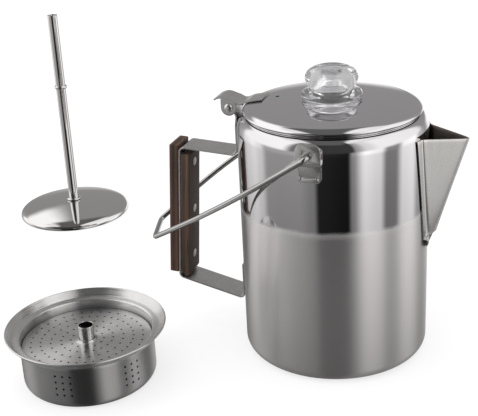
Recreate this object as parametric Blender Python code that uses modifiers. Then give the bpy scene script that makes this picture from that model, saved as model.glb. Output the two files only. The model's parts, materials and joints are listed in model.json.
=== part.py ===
"""Camping coffee percolator: stainless pot with a welded spout, strap handle with wooden grip slabs,
swinging bail, hinged lid with a clear knob, pump stem and lidded coffee basket. The stem and the
basket stand beside the closed pot.

Origin: centre of the pot's base, +Z up. +X is the spout side, -X the handle side. The bail pivots
lie on +Y ("rear" in the names) and -Y ("front"). Dimensions are in millimetres, objects in metres.
"""

import math

import bmesh
import bpy
from mathutils import Matrix, Vector

MM = 0.001

# ---------------------------------------------------------------- dimensions shared by sections
GAP = 0.3  # clearance kept between neighbouring solids

POT_R = 70.0  # outer radius of the vessel wall

LID_TOP_Z = 197.0
KNOB_NECK_R = 14.0
KNOB_LUG_R = 16.8

HINGE_X = -76.0
HINGE_Z = 188.2
PIN_BORE_R = 2.05
TAB_HALF = 9.9  # half width of the hinge tab, to the middle of the ears
TAB_T = 1.0

# ---------------------------------------------------------------- scene
for old in list(bpy.data.objects):
    bpy.data.objects.remove(old, do_unlink=True)

percolator = bpy.data.collections.new("coffee_percolator")
cutters = bpy.data.collections.new("cutters")
for collection in (percolator, cutters):
    bpy.context.scene.collection.children.link(collection)


# ---------------------------------------------------------------- materials
def material(name, colour, metallic=1.0, roughness=0.3, transmission=0.0):
    mat = bpy.data.materials.new(name)
    mat.use_nodes = True
    shader = mat.node_tree.nodes["Principled BSDF"]
    shader.inputs["Base Color"].default_value = (*colour, 1.0)
    shader.inputs["Metallic"].default_value = metallic
    shader.inputs["Roughness"].default_value = roughness
    shader.inputs["Transmission Weight"].default_value = transmission
    return mat


STEEL = (0.74, 0.73, 0.71)
pot_steel = material("pot_steel", STEEL, roughness=0.22)
spout_steel = material("spout_steel", STEEL, roughness=0.32)
strap_steel = material("strap_steel", (0.60, 0.59, 0.58), roughness=0.36)
outer_walnut = material("outer_walnut", (0.13, 0.075, 0.05), metallic=0.0, roughness=0.55)
inner_walnut = material("inner_walnut", (0.11, 0.065, 0.045), metallic=0.0, roughness=0.55)
rivet_aluminium = material("rivet_aluminium", (0.78, 0.76, 0.73), roughness=0.35)
lug_steel = material("lug_steel", (0.66, 0.65, 0.63), roughness=0.35)
pin_steel = material("pin_steel", (0.70, 0.69, 0.68), roughness=0.25)
lid_steel = material("lid_steel", STEEL, roughness=0.08)
ring_steel = material("ring_steel", STEEL, roughness=0.30)
tab_steel = material("tab_steel", (0.62, 0.61, 0.60), roughness=0.30)
knob_glass = material(
    "knob_glass", (0.96, 0.97, 0.98), metallic=0.0, roughness=0.02, transmission=1.0
)
bail_wire_steel = material("bail_wire_steel", (0.68, 0.68, 0.67), roughness=0.25)
tube_steel = material("tube_steel", STEEL, roughness=0.10)
bell_steel = material("bell_steel", STEEL, roughness=0.08)
stop_steel = material("stop_steel", STEEL, roughness=0.12)
basket_steel = material("basket_steel", (0.68, 0.68, 0.67), roughness=0.32)
cover_steel = material("cover_steel", (0.66, 0.66, 0.65), roughness=0.38)


# ---------------------------------------------------------------- object helpers
def move_to(obj, collection):
    for current in list(obj.users_collection):
        current.objects.unlink(obj)
    collection.objects.link(obj)


def add(obj, mat, parent=None):
    """Puts a finished piece in the percolator's collection, under its joint's empty if any."""
    move_to(obj, percolator)
    obj.data.materials.clear()
    obj.data.materials.append(mat)
    if parent is not None:
        obj.parent = parent
        obj.matrix_parent_inverse = Matrix.Translation(parent.location).inverted()


def pivot(name, x, y, z):
    empty = bpy.data.objects.new(name, None)
    empty.location = Vector((x, y, z)) * MM
    empty.empty_display_size = 0.01
    percolator.objects.link(empty)
    return empty


def stand(obj, place):
    """Stands an object on the ground at an (x, y) place."""
    obj.location = Vector((*place, 0.0)) * MM
    return obj


def bake(obj, matrix):
    """Moves the mesh by the object's own placement, then by the matrix, and clears the placement."""
    obj.data.transform(matrix @ obj.matrix_world)
    obj.matrix_world = Matrix.Identity(4)


def smooth(obj):
    obj.data.shade_smooth()
    obj.data.set_sharp_from_angle(angle=math.radians(35.0))


# ---------------------------------------------------------------- shapes
def mesh_object(name, verts, edges=(), faces=()):
    mesh = bpy.data.meshes.new(name)
    mesh.from_pydata([Vector(v) * MM for v in verts], list(edges), list(faces))
    return bpy.data.objects.new(name, mesh)


def turned(name, profile, steps, closed=True):
    """A Screw of a (radius, height) profile, which runs down the outer side.

    A closed profile is a loop; both ends of an open one lie on the axis.
    """
    count = len(profile)
    edges = [(i, i + 1) for i in range(count - 1)]
    if closed:
        edges.append((count - 1, 0))
    obj = mesh_object(name, [(radius, 0.0, z) for radius, z in profile], edges)
    screw = obj.modifiers.new("turn", "SCREW")
    screw.axis = "Z"
    screw.angle = math.tau
    screw.steps = steps
    screw.render_steps = steps
    screw.use_merge_vertices = True
    screw.merge_threshold = 0.00001
    screw.use_smooth_shade = True
    screw.use_normal_calculate = False
    return obj


def headed_pin(name, shank_r, reach, head, steps):
    """A turned pin with equal heads; each head is (radius, rise) points from its crown outwards."""
    profile = [(radius, reach + rise) for radius, rise in head]
    profile += [(shank_r, reach), (shank_r, -reach)]
    profile += [(radius, -reach - rise) for radius, rise in head[::-1]]
    return turned(name, profile, steps, closed=False)


def cylinder(radius, length, centre, axis, segments=16):
    bpy.ops.mesh.primitive_cylinder_add(radius=radius * MM, depth=length * MM, vertices=segments)
    obj = bpy.context.object
    turn = Vector((0, 0, 1)).rotation_difference(Vector(axis)).to_matrix().to_4x4()
    obj.data.transform(Matrix.Translation(Vector(centre) * MM) @ turn)
    return obj


def block(low, high):
    """A box between two opposite corners."""
    bpy.ops.mesh.primitive_cube_add(size=1.0)
    obj = bpy.context.object
    low, high = Vector(low) * MM, Vector(high) * MM
    size = Matrix.Diagonal((*(high - low), 1.0))
    obj.data.transform(Matrix.Translation((low + high) / 2) @ size)
    return obj


def hole_rings(rings, radius, z):
    """Upright hole cutters on rings, each ring given as (radius, count, phase in degrees)."""
    holes = []
    for ring_r, count, phase in rings:
        for i in range(count):
            angle = math.tau * i / count + math.radians(phase)
            centre = (ring_r * math.cos(angle), ring_r * math.sin(angle), z)
            holes.append(cylinder(radius, 5.0, centre, (0, 0, 1), 5))
    return holes


def merged(name, shapes):
    """Closed shapes gathered in one mesh, for use as one cutter."""
    bm = bmesh.new()
    for shape in shapes:
        bm.from_mesh(shape.data)
        bpy.data.objects.remove(shape, do_unlink=True)
    mesh = bpy.data.meshes.new(name)
    bm.to_mesh(mesh)
    bm.free()
    return bpy.data.objects.new(name, mesh)


def boolean(obj, cutter, operation="DIFFERENCE"):
    move_to(cutter, cutters)
    cutter.hide_render = True
    cutter.display_type = "WIRE"
    mod = obj.modifiers.new(operation.lower() + "_" + cutter.name, "BOOLEAN")
    mod.operation = operation
    mod.solver = "EXACT"
    mod.object = cutter


def solid_from_curve(curve_obj):
    """Replaces a curve by its evaluated shape, as a welded mesh object of the same name."""
    bpy.context.view_layer.update()
    graph = bpy.context.evaluated_depsgraph_get()
    mesh = bpy.data.meshes.new_from_object(curve_obj.evaluated_get(graph))
    bm = bmesh.new()
    bm.from_mesh(mesh)
    bmesh.ops.remove_doubles(bm, verts=bm.verts, dist=0.000001)
    bmesh.ops.recalc_face_normals(bm, faces=bm.faces)
    bm.to_mesh(mesh)
    bm.free()
    name, placement = curve_obj.name, curve_obj.matrix_world.copy()
    bpy.data.objects.remove(curve_obj, do_unlink=True)
    solid = bpy.data.objects.new(name, mesh)
    solid.matrix_world = placement
    return solid


def poly_spline(curve, points):
    """Adds a straight-segment spline through points in metres."""
    spline = curve.splines.new("POLY")
    spline.points.add(len(points) - 1)
    for spline_point, (x, y, z) in zip(spline.points, points):
        spline_point.co = (x, y, z, 1.0)
    return spline


def outline_solid(name, outline, half):
    """An upright outline of (x, z) points, given thickness 2 * half along Y."""
    curve = bpy.data.curves.new(name, "CURVE")
    curve.dimensions = "2D"
    curve.fill_mode = "BOTH"
    curve.extrude = half * MM
    curve.render_resolution_u = 0
    spline = poly_spline(curve, [(x * MM, z * MM, 0.0) for x, z in outline])
    spline.use_cyclic_u = True
    obj = bpy.data.objects.new(name, curve)
    obj.rotation_euler = (math.pi / 2, 0.0, 0.0)
    bpy.context.scene.collection.objects.link(obj)
    return solid_from_curve(obj)


# ---------------------------------------------------------------- paths
def arc(centre_x, centre_z, radius, start, end, steps):
    """steps + 1 points of a circle's arc between two angles in degrees."""
    angles = [math.radians(start + (end - start) * i / steps) for i in range(steps + 1)]
    return [(centre_x + radius * math.cos(a), centre_z + radius * math.sin(a)) for a in angles]


def rounded(points, radii, steps=4):
    """A flat polyline whose inner corners are replaced by arcs of the given radii."""
    path = [points[0]]
    for before, corner, after, radius in zip(points, points[1:], points[2:], radii):
        corner = Vector(corner)
        to_before = (Vector(before) - corner).normalized()
        to_after = (Vector(after) - corner).normalized()
        half = math.acos(to_before.dot(to_after)) / 2
        reach = radius / math.tan(half)
        centre = corner + (to_before + to_after).normalized() * (radius / math.sin(half))
        start = corner + to_before * reach - centre
        end = corner + to_after * reach - centre
        sweep = start.angle_signed(end)
        for k in range(steps + 1):
            # angle_signed counts clockwise, Matrix.Rotation counterclockwise
            path.append(tuple(centre + Matrix.Rotation(-sweep * k / steps, 2) @ start))
    path.append(points[-1])
    return path


def fillet(before, corner, after, radius, steps=5):
    """steps + 1 points of the arc that rounds a corner in space."""
    to_before, to_after = (before - corner).normalized(), (after - corner).normalized()
    half = to_before.angle(to_after) / 2
    centre = corner + (to_before + to_after).normalized() * (radius / math.sin(half))
    start = corner + to_before * (radius / math.tan(half)) - centre
    turn = math.pi - 2 * half
    axis = to_after.cross(to_before)
    return [
        centre + Matrix.Rotation(-turn * k / steps, 3, axis) @ start for k in range(steps + 1)
    ]


def thick(path, thickness):
    """The closed outline of a strip along a flat centreline, mitred at its corners."""
    points = [Vector(p) for p in path]
    directions = [(b - a).normalized() for a, b in zip(points, points[1:])]
    left, right = [], []
    for i, point in enumerate(points):
        before = directions[max(i - 1, 0)]
        after = directions[min(i, len(directions) - 1)]
        along = (before + after).normalized()
        normal = Vector((-along.y, along.x))
        reach = thickness / 2 / normal.dot(Vector((-before.y, before.x)))
        left.append(tuple(point + normal * reach))
        right.append(tuple(point - normal * reach))
    return left + right[::-1]


# ---------------------------------------------------------------- pot body
POT_T = 0.8  # sheet thickness
POT_CORNER = 9.0  # outer radius of the bottom corner
POT_FLOOR_R = 30.0  # extra ring of vertices in the floor
SHOULDER_Z = 175.0  # height where the wall starts to curl in
NECK_R = 62.0  # radius where the shoulder ends
NECK_Z = 187.0
BEAD_R = 1.25  # rolled mouth bead
BEAD_CENTRE = (62.3, 188.6)  # (radius, z) of the bead's section
MOUTH_R = BEAD_CENTRE[0] - BEAD_R
STRAINER_R = 2.6
# (y of the column, heights of its holes)
STRAINER_COLUMNS = (
    (0.0, (108, 122, 136, 150, 164)),
    (7.5, (129, 143, 157)),
    (-7.5, (129, 143, 157)),
)


def shoulder(inset, steps=4):
    """Points from the wall up to the neck, pulled in by inset and ending inset lower."""
    points = []
    for i in range(steps + 1):
        angle = math.pi / 2 * i / steps
        radius = NECK_R + (POT_R - NECK_R) * math.cos(angle) - inset
        rise = (NECK_Z - SHOULDER_Z - inset * 0.4) * math.sin(angle)
        points.append((radius, SHOULDER_Z - inset * 0.6 + rise))
    return points


def build_pot():
    corner = (POT_R - POT_CORNER, POT_CORNER)
    # up the inside, round the bead and down the outside
    profile = [(0.0, POT_T), (POT_FLOOR_R, POT_T)]
    profile += arc(*corner, POT_CORNER - POT_T, -90, 0, 4)
    profile += shoulder(POT_T)[:-1] + [(MOUTH_R, NECK_Z - 0.2)]
    profile += arc(*BEAD_CENTRE, BEAD_R, 180, -50, 6)
    profile += [(NECK_R + 1.1, NECK_Z + 0.1)] + shoulder(0.0)[-2::-1]
    profile += arc(*corner, POT_CORNER, 0, -90, 4)
    profile += [(POT_FLOOR_R, 0.0), (0.0, 0.0)]
    pot = turned("pot_body", profile, 44, closed=False)
    # strainer holes in the wall behind the spout
    holes = [
        cylinder(STRAINER_R, 12.0, (69.0, y, z), (1, 0, 0), 10)
        for y, heights in STRAINER_COLUMNS
        for z in heights
    ]
    boolean(pot, merged("strainer_holes", holes))
    add(pot, pot_steel)


# ---------------------------------------------------------------- spout
# A sheet that lies on the wall as a flange, lifts off it through a concave fillet and folds
# forward into a V with a rounded ridge.
SPOUT_T = 0.8
SPOUT_TOP_Z = 173.0
SPOUT_TIP_X = 98.8
SPOUT_HEEL_X = 77.0  # the ridge's lower corner
SPOUT_HEEL_Z = 99.6
SPOUT_LIFT_Z = 95.0  # where the ridge starts to rise towards the heel
SPOUT_LIFT_DEPTH = 3.0  # depth below the wall from which it rises
SPOUT_FLANGE_BOTTOM_Z = 87.0
SPOUT_ROOT_HALF = 25.0  # half width of the flange at the top
SPOUT_HEEL_HALF = 13.0
SPOUT_END_HALF = 1.6
SPOUT_V_HALF = 5.5  # half width of the V where it meets the wall, at the heel and below
SPOUT_V_GROWTH = 9.7  # what the V's half width gains up to the top
SPOUT_RIDGE_ROUND = 1.6  # softening of the ridge
SPOUT_FILLET = 2.6  # lift over which the concave fillet blends
# the top edge falls from the wall to the tip
SPOUT_ROOT_X, SPOUT_ROOT_RISE, SPOUT_TIP_DROP = 66.0, 2.0, 1.2
SPOUT_ROWS = [
    SPOUT_TOP_Z, 166.0, 158.0, 150.0, 141.0, 132.0, 123.0, 114.0, 106.0, 101.5,
    SPOUT_HEEL_Z, 98.0, 96.8, 95.8, SPOUT_LIFT_Z, 92.5, 90.0, 88.2, SPOUT_FLANGE_BOTTOM_Z,
]
# stations across one side, as fractions of the flange's half width
SPOUT_SIDE = [-1.0, -0.84, -0.70, -0.60, -0.50, -0.40, -0.28, -0.16, -0.07]


def above_heel(z):
    """0 at the spout's heel, 1 at its top."""
    return (z - SPOUT_HEEL_Z) / (SPOUT_TOP_Z - SPOUT_HEEL_Z)


def spout_x(y, z):
    """Distance of the sheet's inner side from the YZ plane."""
    root_r = POT_R + GAP
    wall = math.sqrt(root_r * root_r - y * y)
    if z >= SPOUT_HEEL_Z:
        ridge = SPOUT_HEEL_X + (SPOUT_TIP_X - SPOUT_HEEL_X) * above_heel(z) - SPOUT_T
        v_half = SPOUT_V_HALF + SPOUT_V_GROWTH * above_heel(z)
    else:
        t = max(0.0, (z - SPOUT_LIFT_Z) / (SPOUT_HEEL_Z - SPOUT_LIFT_Z))
        start = root_r - SPOUT_LIFT_DEPTH
        ridge = start + (SPOUT_HEEL_X - SPOUT_T - start) * math.sqrt(t)
        v_half = SPOUT_V_HALF
    aside = math.sqrt(y * y + SPOUT_RIDGE_ROUND**2) - SPOUT_RIDGE_ROUND
    lift = ridge - (ridge - root_r) * aside / v_half - wall
    if lift >= SPOUT_FILLET:
        return wall + lift
    if lift <= -SPOUT_FILLET:
        return wall
    return wall + (lift + SPOUT_FILLET) ** 2 / (4 * SPOUT_FILLET)


def spout_half(z):
    """Half width of the flange at height z."""
    if z >= SPOUT_HEEL_Z:
        return SPOUT_HEEL_HALF + (SPOUT_ROOT_HALF - SPOUT_HEEL_HALF) * above_heel(z)
    t = (z - SPOUT_FLANGE_BOTTOM_Z) / (SPOUT_HEEL_Z - SPOUT_FLANGE_BOTTOM_Z)
    return SPOUT_END_HALF + (SPOUT_HEEL_HALF - SPOUT_END_HALF) * math.sqrt(t * (2 - t))


def spout_level(x, z):
    """Height of a point of the sheet once its top edge is given its fall."""
    forward = (x - SPOUT_ROOT_X) / (SPOUT_TIP_X - SPOUT_T - SPOUT_ROOT_X)
    shift = SPOUT_ROOT_RISE - (SPOUT_ROOT_RISE + SPOUT_TIP_DROP) * forward
    return z + max(0.0, above_heel(z)) * shift


def build_spout():
    stations = SPOUT_SIDE + [0.0] + [-a for a in SPOUT_SIDE[::-1]]
    count = len(stations)
    verts, faces = [], []
    for z in SPOUT_ROWS:
        for station in stations:
            y = station * spout_half(z)
            x = spout_x(y, z)
            verts.append((x, y, spout_level(x, z)))
    for i in range(len(SPOUT_ROWS) - 1):
        for j in range(count - 1):
            a = i * count + j
            faces.append((a, a + count, a + count + 1, a + 1))
    spout = mesh_object("spout", verts, (), faces)
    sheet = spout.modifiers.new("sheet", "SOLIDIFY")
    sheet.thickness = SPOUT_T * MM
    sheet.offset = 1.0
    smooth(spout)
    add(spout, spout_steel)


# ---------------------------------------------------------------- handle: strap, slabs, rivets
STRAP_W = 23.0
STRAP_T = 1.3
STRAP_KNUCKLE_W = 18.0
WALL_X = -(POT_R + GAP + STRAP_T / 2)  # centreline of the strap where it lies on the wall
# corners of the strap's centreline below the knuckle, (x, z)
KNUCKLE_FOOT = (WALL_X, 180.9)
ARM_TOP = (WALL_X, 151.4)
GRIP_TOP = (-117.4, 155.1)
GRIP_BOTTOM = (-125.1, 45.1)
ARM_BOTTOM = (WALL_X, 31.3)
STRAP_END = (WALL_X, 61.0)
STRAP_BENDS = [2.5, 4.6, 4.0, 4.0, 3.4]  # centreline radii from the knuckle's foot down

SLAB_W = 23.0
SLAB_T = 7.4
SLAB_FACE = STRAP_T / 2 + GAP  # slab's face from the strap's centreline
RIVET_PITCH = 39.5
RIVET_R = 1.9
RIVET_HEAD = [(0.0, 0.6), (1.6, 0.5), (2.7, 0.25), (3.3, 0.0)]  # (radius, rise)
RIVETS = (("top", RIVET_PITCH), ("middle", 0.0), ("bottom", -RIVET_PITCH))

# Grip frame: "along" runs up the strap's grip segment, "out" points away from the pot.
GRIP_DIR = (Vector(GRIP_TOP) - Vector(GRIP_BOTTOM)).normalized()
GRIP_OUT = Vector((-GRIP_DIR.y, GRIP_DIR.x))
GRIP_MIDDLE = Vector(GRIP_BOTTOM) + GRIP_DIR * 56.8  # where the middle rivet sits
RIVET_AXIS = Vector((GRIP_OUT.x, 0.0, GRIP_OUT.y))

# slab outlines, (along, out)
OUTER_SLAB = [
    (-53.3, SLAB_FACE),
    (-53.3, SLAB_FACE + SLAB_T),
    (55.0, SLAB_FACE + SLAB_T),
    (55.0, SLAB_FACE),
]
INNER_SLAB = [
    (48.3, -SLAB_FACE),
    (48.3, -SLAB_FACE - SLAB_T),
    (-54.3, -SLAB_FACE - SLAB_T),
    (-56.4, -SLAB_FACE - SLAB_T + 3.2),
    (-52.7, -SLAB_FACE),
]


def on_grip(along, out):
    """(x, z) of a point given in the grip frame."""
    return tuple(GRIP_MIDDLE + GRIP_DIR * along + GRIP_OUT * out)


def drill_rivet_holes(obj):
    holes = []
    for _, along in RIVETS:
        x, z = on_grip(along, 0.0)
        holes.append(cylinder(RIVET_R + GAP, 40.0, (x, 0.0, z), RIVET_AXIS, 12))
    boolean(obj, merged("rivet_holes_" + obj.name, holes))


def build_strap():
    """One strip: knuckle round the pin, wall, upper arm, grip, lower arm, end turned up."""
    curl = arc(HINGE_X, HINGE_Z, PIN_BORE_R + STRAP_T / 2, 310, 25, 12)
    corners = [KNUCKLE_FOOT, ARM_TOP, GRIP_TOP, GRIP_BOTTOM, ARM_BOTTOM, STRAP_END]
    path = curl + rounded([curl[-1]] + corners, STRAP_BENDS)[1:]
    strap = outline_solid("handle_strap", thick(path, STRAP_T), STRAP_W / 2)
    # the strip is narrower at the knuckle
    half = STRAP_KNUCKLE_W / 2
    sides = [
        block((-92.0, low, 179.0), (-66.0, high, 200.0))
        for low, high in ((half, STRAP_W), (-STRAP_W, -half))
    ]
    boolean(strap, merged("knuckle_sides", sides))
    drill_rivet_holes(strap)
    add(strap, strap_steel)


def build_slab(name, outline, wood):
    slab = outline_solid(name, [on_grip(*point) for point in outline], SLAB_W / 2)
    edges = slab.modifiers.new("edges", "BEVEL")
    edges.width = 0.9 * MM
    edges.segments = 2
    edges.limit_method = "ANGLE"
    edges.angle_limit = math.radians(40)
    drill_rivet_holes(slab)
    add(slab, wood)


def build_rivets():
    for label, along in RIVETS:
        reach = SLAB_FACE + SLAB_T + GAP
        rivet = headed_pin("grip_rivet_" + label, RIVET_R, reach, RIVET_HEAD, 14)
        x, z = on_grip(along, 0.0)
        rivet.location = Vector((x, 0.0, z)) * MM
        rivet.rotation_mode = "QUATERNION"
        rivet.rotation_quaternion = Vector((0, 0, 1)).rotation_difference(RIVET_AXIS)
        add(rivet, rivet_aluminium)


# ---------------------------------------------------------------- bail lugs
BAIL_X = 1.2  # the pivot stands a little towards the spout from the pot's middle
BAIL_Z = 177.7
LUG_HOLE_R = 2.4
LUG_T = 1.2
LUG_TAB_Y = POT_R + GAP + LUG_T / 2  # middle of the tab on the wall
LUG_PLATE_Y = 74.0 + LUG_T / 2  # middle of the raised plate
LUG_W = 18.0
LUG_TAB_W = 16.6
LUG_TOP_Z = 186.5
LUG_TOP_CORNER = 5.5
LUG_FOLD_Z = 171.0
LUG_FOLD_HALF = 1.6  # half height of the jog
LUG_BOTTOM_Z = 157.6
LUG_BOTTOM_CORNER = 3.0
LUG_TRIM = 0.05  # the stamp's outline lies this far inside the folded strip


def lug_outline():
    """(x, z) seen square to the plate: rounded top, steps at the fold, rounded bottom corners."""
    half, tab = LUG_W / 2 - LUG_TRIM, LUG_TAB_W / 2
    top_x, top_z = half - LUG_TOP_CORNER, LUG_TOP_Z - LUG_TRIM - LUG_TOP_CORNER
    low_x, low_z = tab - LUG_BOTTOM_CORNER, LUG_BOTTOM_Z + LUG_TRIM + LUG_BOTTOM_CORNER
    outline = arc(top_x, top_z, LUG_TOP_CORNER, 0, 90, 4)
    outline += arc(-top_x, top_z, LUG_TOP_CORNER, 90, 180, 4)
    outline += [(-half, LUG_FOLD_Z), (-tab, LUG_FOLD_Z - 1.0)]
    outline += arc(-low_x, low_z, LUG_BOTTOM_CORNER, 180, 270, 3)
    outline += arc(low_x, low_z, LUG_BOTTOM_CORNER, 270, 360, 3)
    return outline + [(tab, LUG_FOLD_Z - 1.0), (half, LUG_FOLD_Z)]


def build_lug(label, side):
    """A folded plate: a tab on the wall, a jog outwards and a raised plate with the pivot hole."""
    section = [
        (LUG_TAB_Y, LUG_BOTTOM_Z),
        (LUG_TAB_Y, LUG_FOLD_Z - LUG_FOLD_HALF),
        (LUG_PLATE_Y, LUG_FOLD_Z + LUG_FOLD_HALF),
        (LUG_PLATE_Y, LUG_TOP_Z),
    ]
    line = rounded(section, [1.2, 1.2], 3)
    lug = outline_solid("bail_lug_" + label, thick(line, LUG_T), LUG_W / 2)
    turn = Matrix.Rotation(math.radians(90 * side), 4, "Z")
    bake(lug, Matrix.Translation((BAIL_X * MM, 0, 0)) @ turn)
    stamp = outline_solid("lug_outline_" + label, lug_outline(), 6.0)
    bake(stamp, Matrix.Translation((BAIL_X * MM, side * 73.0 * MM, 0)))
    boolean(lug, stamp, "INTERSECT")
    hole = cylinder(LUG_HOLE_R, 6.0, (BAIL_X, side * LUG_PLATE_Y, BAIL_Z), (0, 1, 0))
    boolean(lug, merged("lug_hole_" + label, [hole]))
    add(lug, lug_steel)


# ---------------------------------------------------------------- bail wire, on its pivot axis
BAIL_D = 4.0
BAIL_END_Y = 71.6  # tips of the hooked ends
BAIL_ARM_Y = 80.0  # where the wire turns along the pot
BAIL_HOOK_BEND = 2.6
BAIL_CORNER_BEND = 5.0
BAIL_DROP = math.radians(33.3)  # below horizontal at rest
# The wire is slightly skewed. For each arm: length to the crosspiece, half width there, outward
# bow, upward arch in the middle, and how far its corner stands out of the bail's plane.
BAIL_FRONT = dict(length=173.1, cross_half=16.0, bow=7.7, arch=-0.9, stand_out=-2.9)
BAIL_REAR = dict(length=178.4, cross_half=15.7, bow=10.2, arch=9.2, stand_out=2.7)


def bail_point(along, across, above):
    """A point relative to the pivot: along the bail, across it, and out of its plane."""
    c, s = math.cos(BAIL_DROP), math.sin(BAIL_DROP)
    return Vector((-along * c - above * s, across, -along * s + above * c))


def bail_arm(side, length, cross_half, bow, arch, stand_out):
    """Points from the hooked end to the last one before the corner, and the corner."""
    bend = BAIL_HOOK_BEND
    hook = arc(bend, BAIL_ARM_Y - bend, bend, 180, 90, 4)
    points = [(0.0, BAIL_END_Y, 0.0)] + [(along, across, 0.0) for along, across in hook]
    for i in range(1, 13):
        t = i / 13
        swell = math.sin(math.pi * t)
        along = bend + (length - bend) * t
        across = BAIL_ARM_Y + (cross_half - BAIL_ARM_Y) * t + bow * swell
        points.append((along, across, arch * swell + stand_out * t))
    points.append((length, cross_half, stand_out))
    *arm, corner = [bail_point(along, side * across, above) for along, across, above in points]
    return arm, corner


def build_bail():
    front_arm, front_corner = bail_arm(-1, **BAIL_FRONT)
    rear_arm, rear_corner = bail_arm(1, **BAIL_REAR)
    line = front_arm
    line += fillet(front_arm[-1], front_corner, rear_corner, BAIL_CORNER_BEND)
    line += fillet(front_corner, rear_corner, rear_arm[-1], BAIL_CORNER_BEND)
    line += rear_arm[::-1]
    wire = bpy.data.curves.new("bail_wire", "CURVE")
    wire.dimensions = "3D"
    wire.bevel_depth = BAIL_D / 2 * MM
    wire.bevel_resolution = 2
    wire.use_fill_caps = True
    wire.render_resolution_u = 0
    poly_spline(wire, [point * MM for point in line])
    wire.materials.append(bail_wire_steel)
    bail = bpy.data.objects.new("bail_wire", wire)
    percolator.objects.link(bail)
    bail.parent = pivot("bail_axis", BAIL_X, 0.0, BAIL_Z)


# ---------------------------------------------------------------- hinge pin
PIN_R = 1.7
PIN_HEAD = [(0.0, 1.7), (1.6, 1.5), (2.9, 0.8), (3.3, 0.0)]  # (radius, rise)


def build_hinge_pin():
    """Held in the strap's knuckle, with its heads outside the tab's ears."""
    pin = headed_pin("hinge_pin", PIN_R, TAB_HALF + TAB_T / 2 + GAP, PIN_HEAD, 16)
    pin.rotation_euler = (math.pi / 2, 0.0, 0.0)
    pin.location = Vector((HINGE_X, 0.0, HINGE_Z)) * MM
    add(pin, pin_steel)


# ---------------------------------------------------------------- lid, on the hinge axis
LID_T = 0.8
LID_SAG = 4.2  # fall of the domed top from the knob hole to the rim's bend
LID_BEND_R = 60.5
KNOB_HOLE_R = 14.4
VENT_R = 1.5
VENT_X = -41.0
DOME_RADII = (32.0, 42.0, 50.0, 56.0)
# rolled rim from the outer side of the bend round to the inner side, (radius, z)
LID_RIM = [
    (LID_BEND_R, LID_TOP_Z - LID_SAG), (62.7, 192.0), (64.3, 190.9), (65.0, 190.1),
    (65.2, 189.5), (64.9, 188.85), (64.4, 188.6), (64.05, 188.9),
    (64.2, 189.6), (63.7, 190.6), (62.4, 191.35), (60.2, 192.05),
]

RING_R = 60.4  # centring ring under the lid
RING_T = 0.7
RING_BOTTOM_Z = 184.5

EAR_R = 6.0


def lid_z(radius):
    """Height of the lid's domed top."""
    return LID_TOP_Z - LID_SAG * ((radius - KNOB_HOLE_R) / (LID_BEND_R - KNOB_HOLE_R)) ** 2.2


# the hinge tab's middle surface, (x, z), from the lid out past the hinge
TAB_PATH = [(-radius, lid_z(radius) + 0.85) for radius in (50.4, 54.5, 58.5)]
TAB_PATH += [
    (-61.5, 193.4), (-63.6, 192.5), (-65.4, 191.75), (-67.4, 191.3), (-68.9, 191.25),
    (HINGE_X + EAR_R, 191.5), (-72.5, 192.75), (-74.5, 193.45),
    (HINGE_X, 193.9), (-77.8, 194.55), (-80.0, 195.15),
    (HINGE_X - EAR_R, 195.4), (-84.0, 195.2), (-86.0, 194.5), (-87.6, 193.7),
]


def build_lid_shell(axis):
    profile = [(KNOB_HOLE_R, LID_TOP_Z)] + [(r, lid_z(r)) for r in DOME_RADII]
    profile += LID_RIM
    profile += [(r, lid_z(r) - LID_T) for r in DOME_RADII[::-1]]
    profile += [(KNOB_HOLE_R, LID_TOP_Z - LID_T)]
    shell = turned("lid_shell", profile, 40)
    # two notches let the knob's bayonet lugs through, and a vent hole lies on the hinge side
    notch_reach = KNOB_LUG_R + 0.6
    openings = [
        block((-4.2, -notch_reach, 190.0), (4.2, notch_reach, 205.0)),
        cylinder(VENT_R, 12.0, (VENT_X, 0.0, 196.0), (0, 0, 1), 12),
    ]
    boolean(shell, merged("lid_openings", openings))
    add(shell, lid_steel, axis)


def build_lid_ring(axis):
    top = [(r, lid_z(r) - LID_T - GAP) for r in (50.0, 53.0, 57.0)]
    profile = top + [
        (59.3, 191.85),
        (RING_R, 190.9),
        (RING_R, RING_BOTTOM_Z),
        (RING_R - RING_T, RING_BOTTOM_Z),
        (RING_R - RING_T, 190.6),
        (58.7, 191.25),
    ]
    profile += [(r - 0.1, z - RING_T) for r, z in top[::-1]]
    add(turned("lid_centring_ring", profile, 32), ring_steel, axis)


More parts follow.
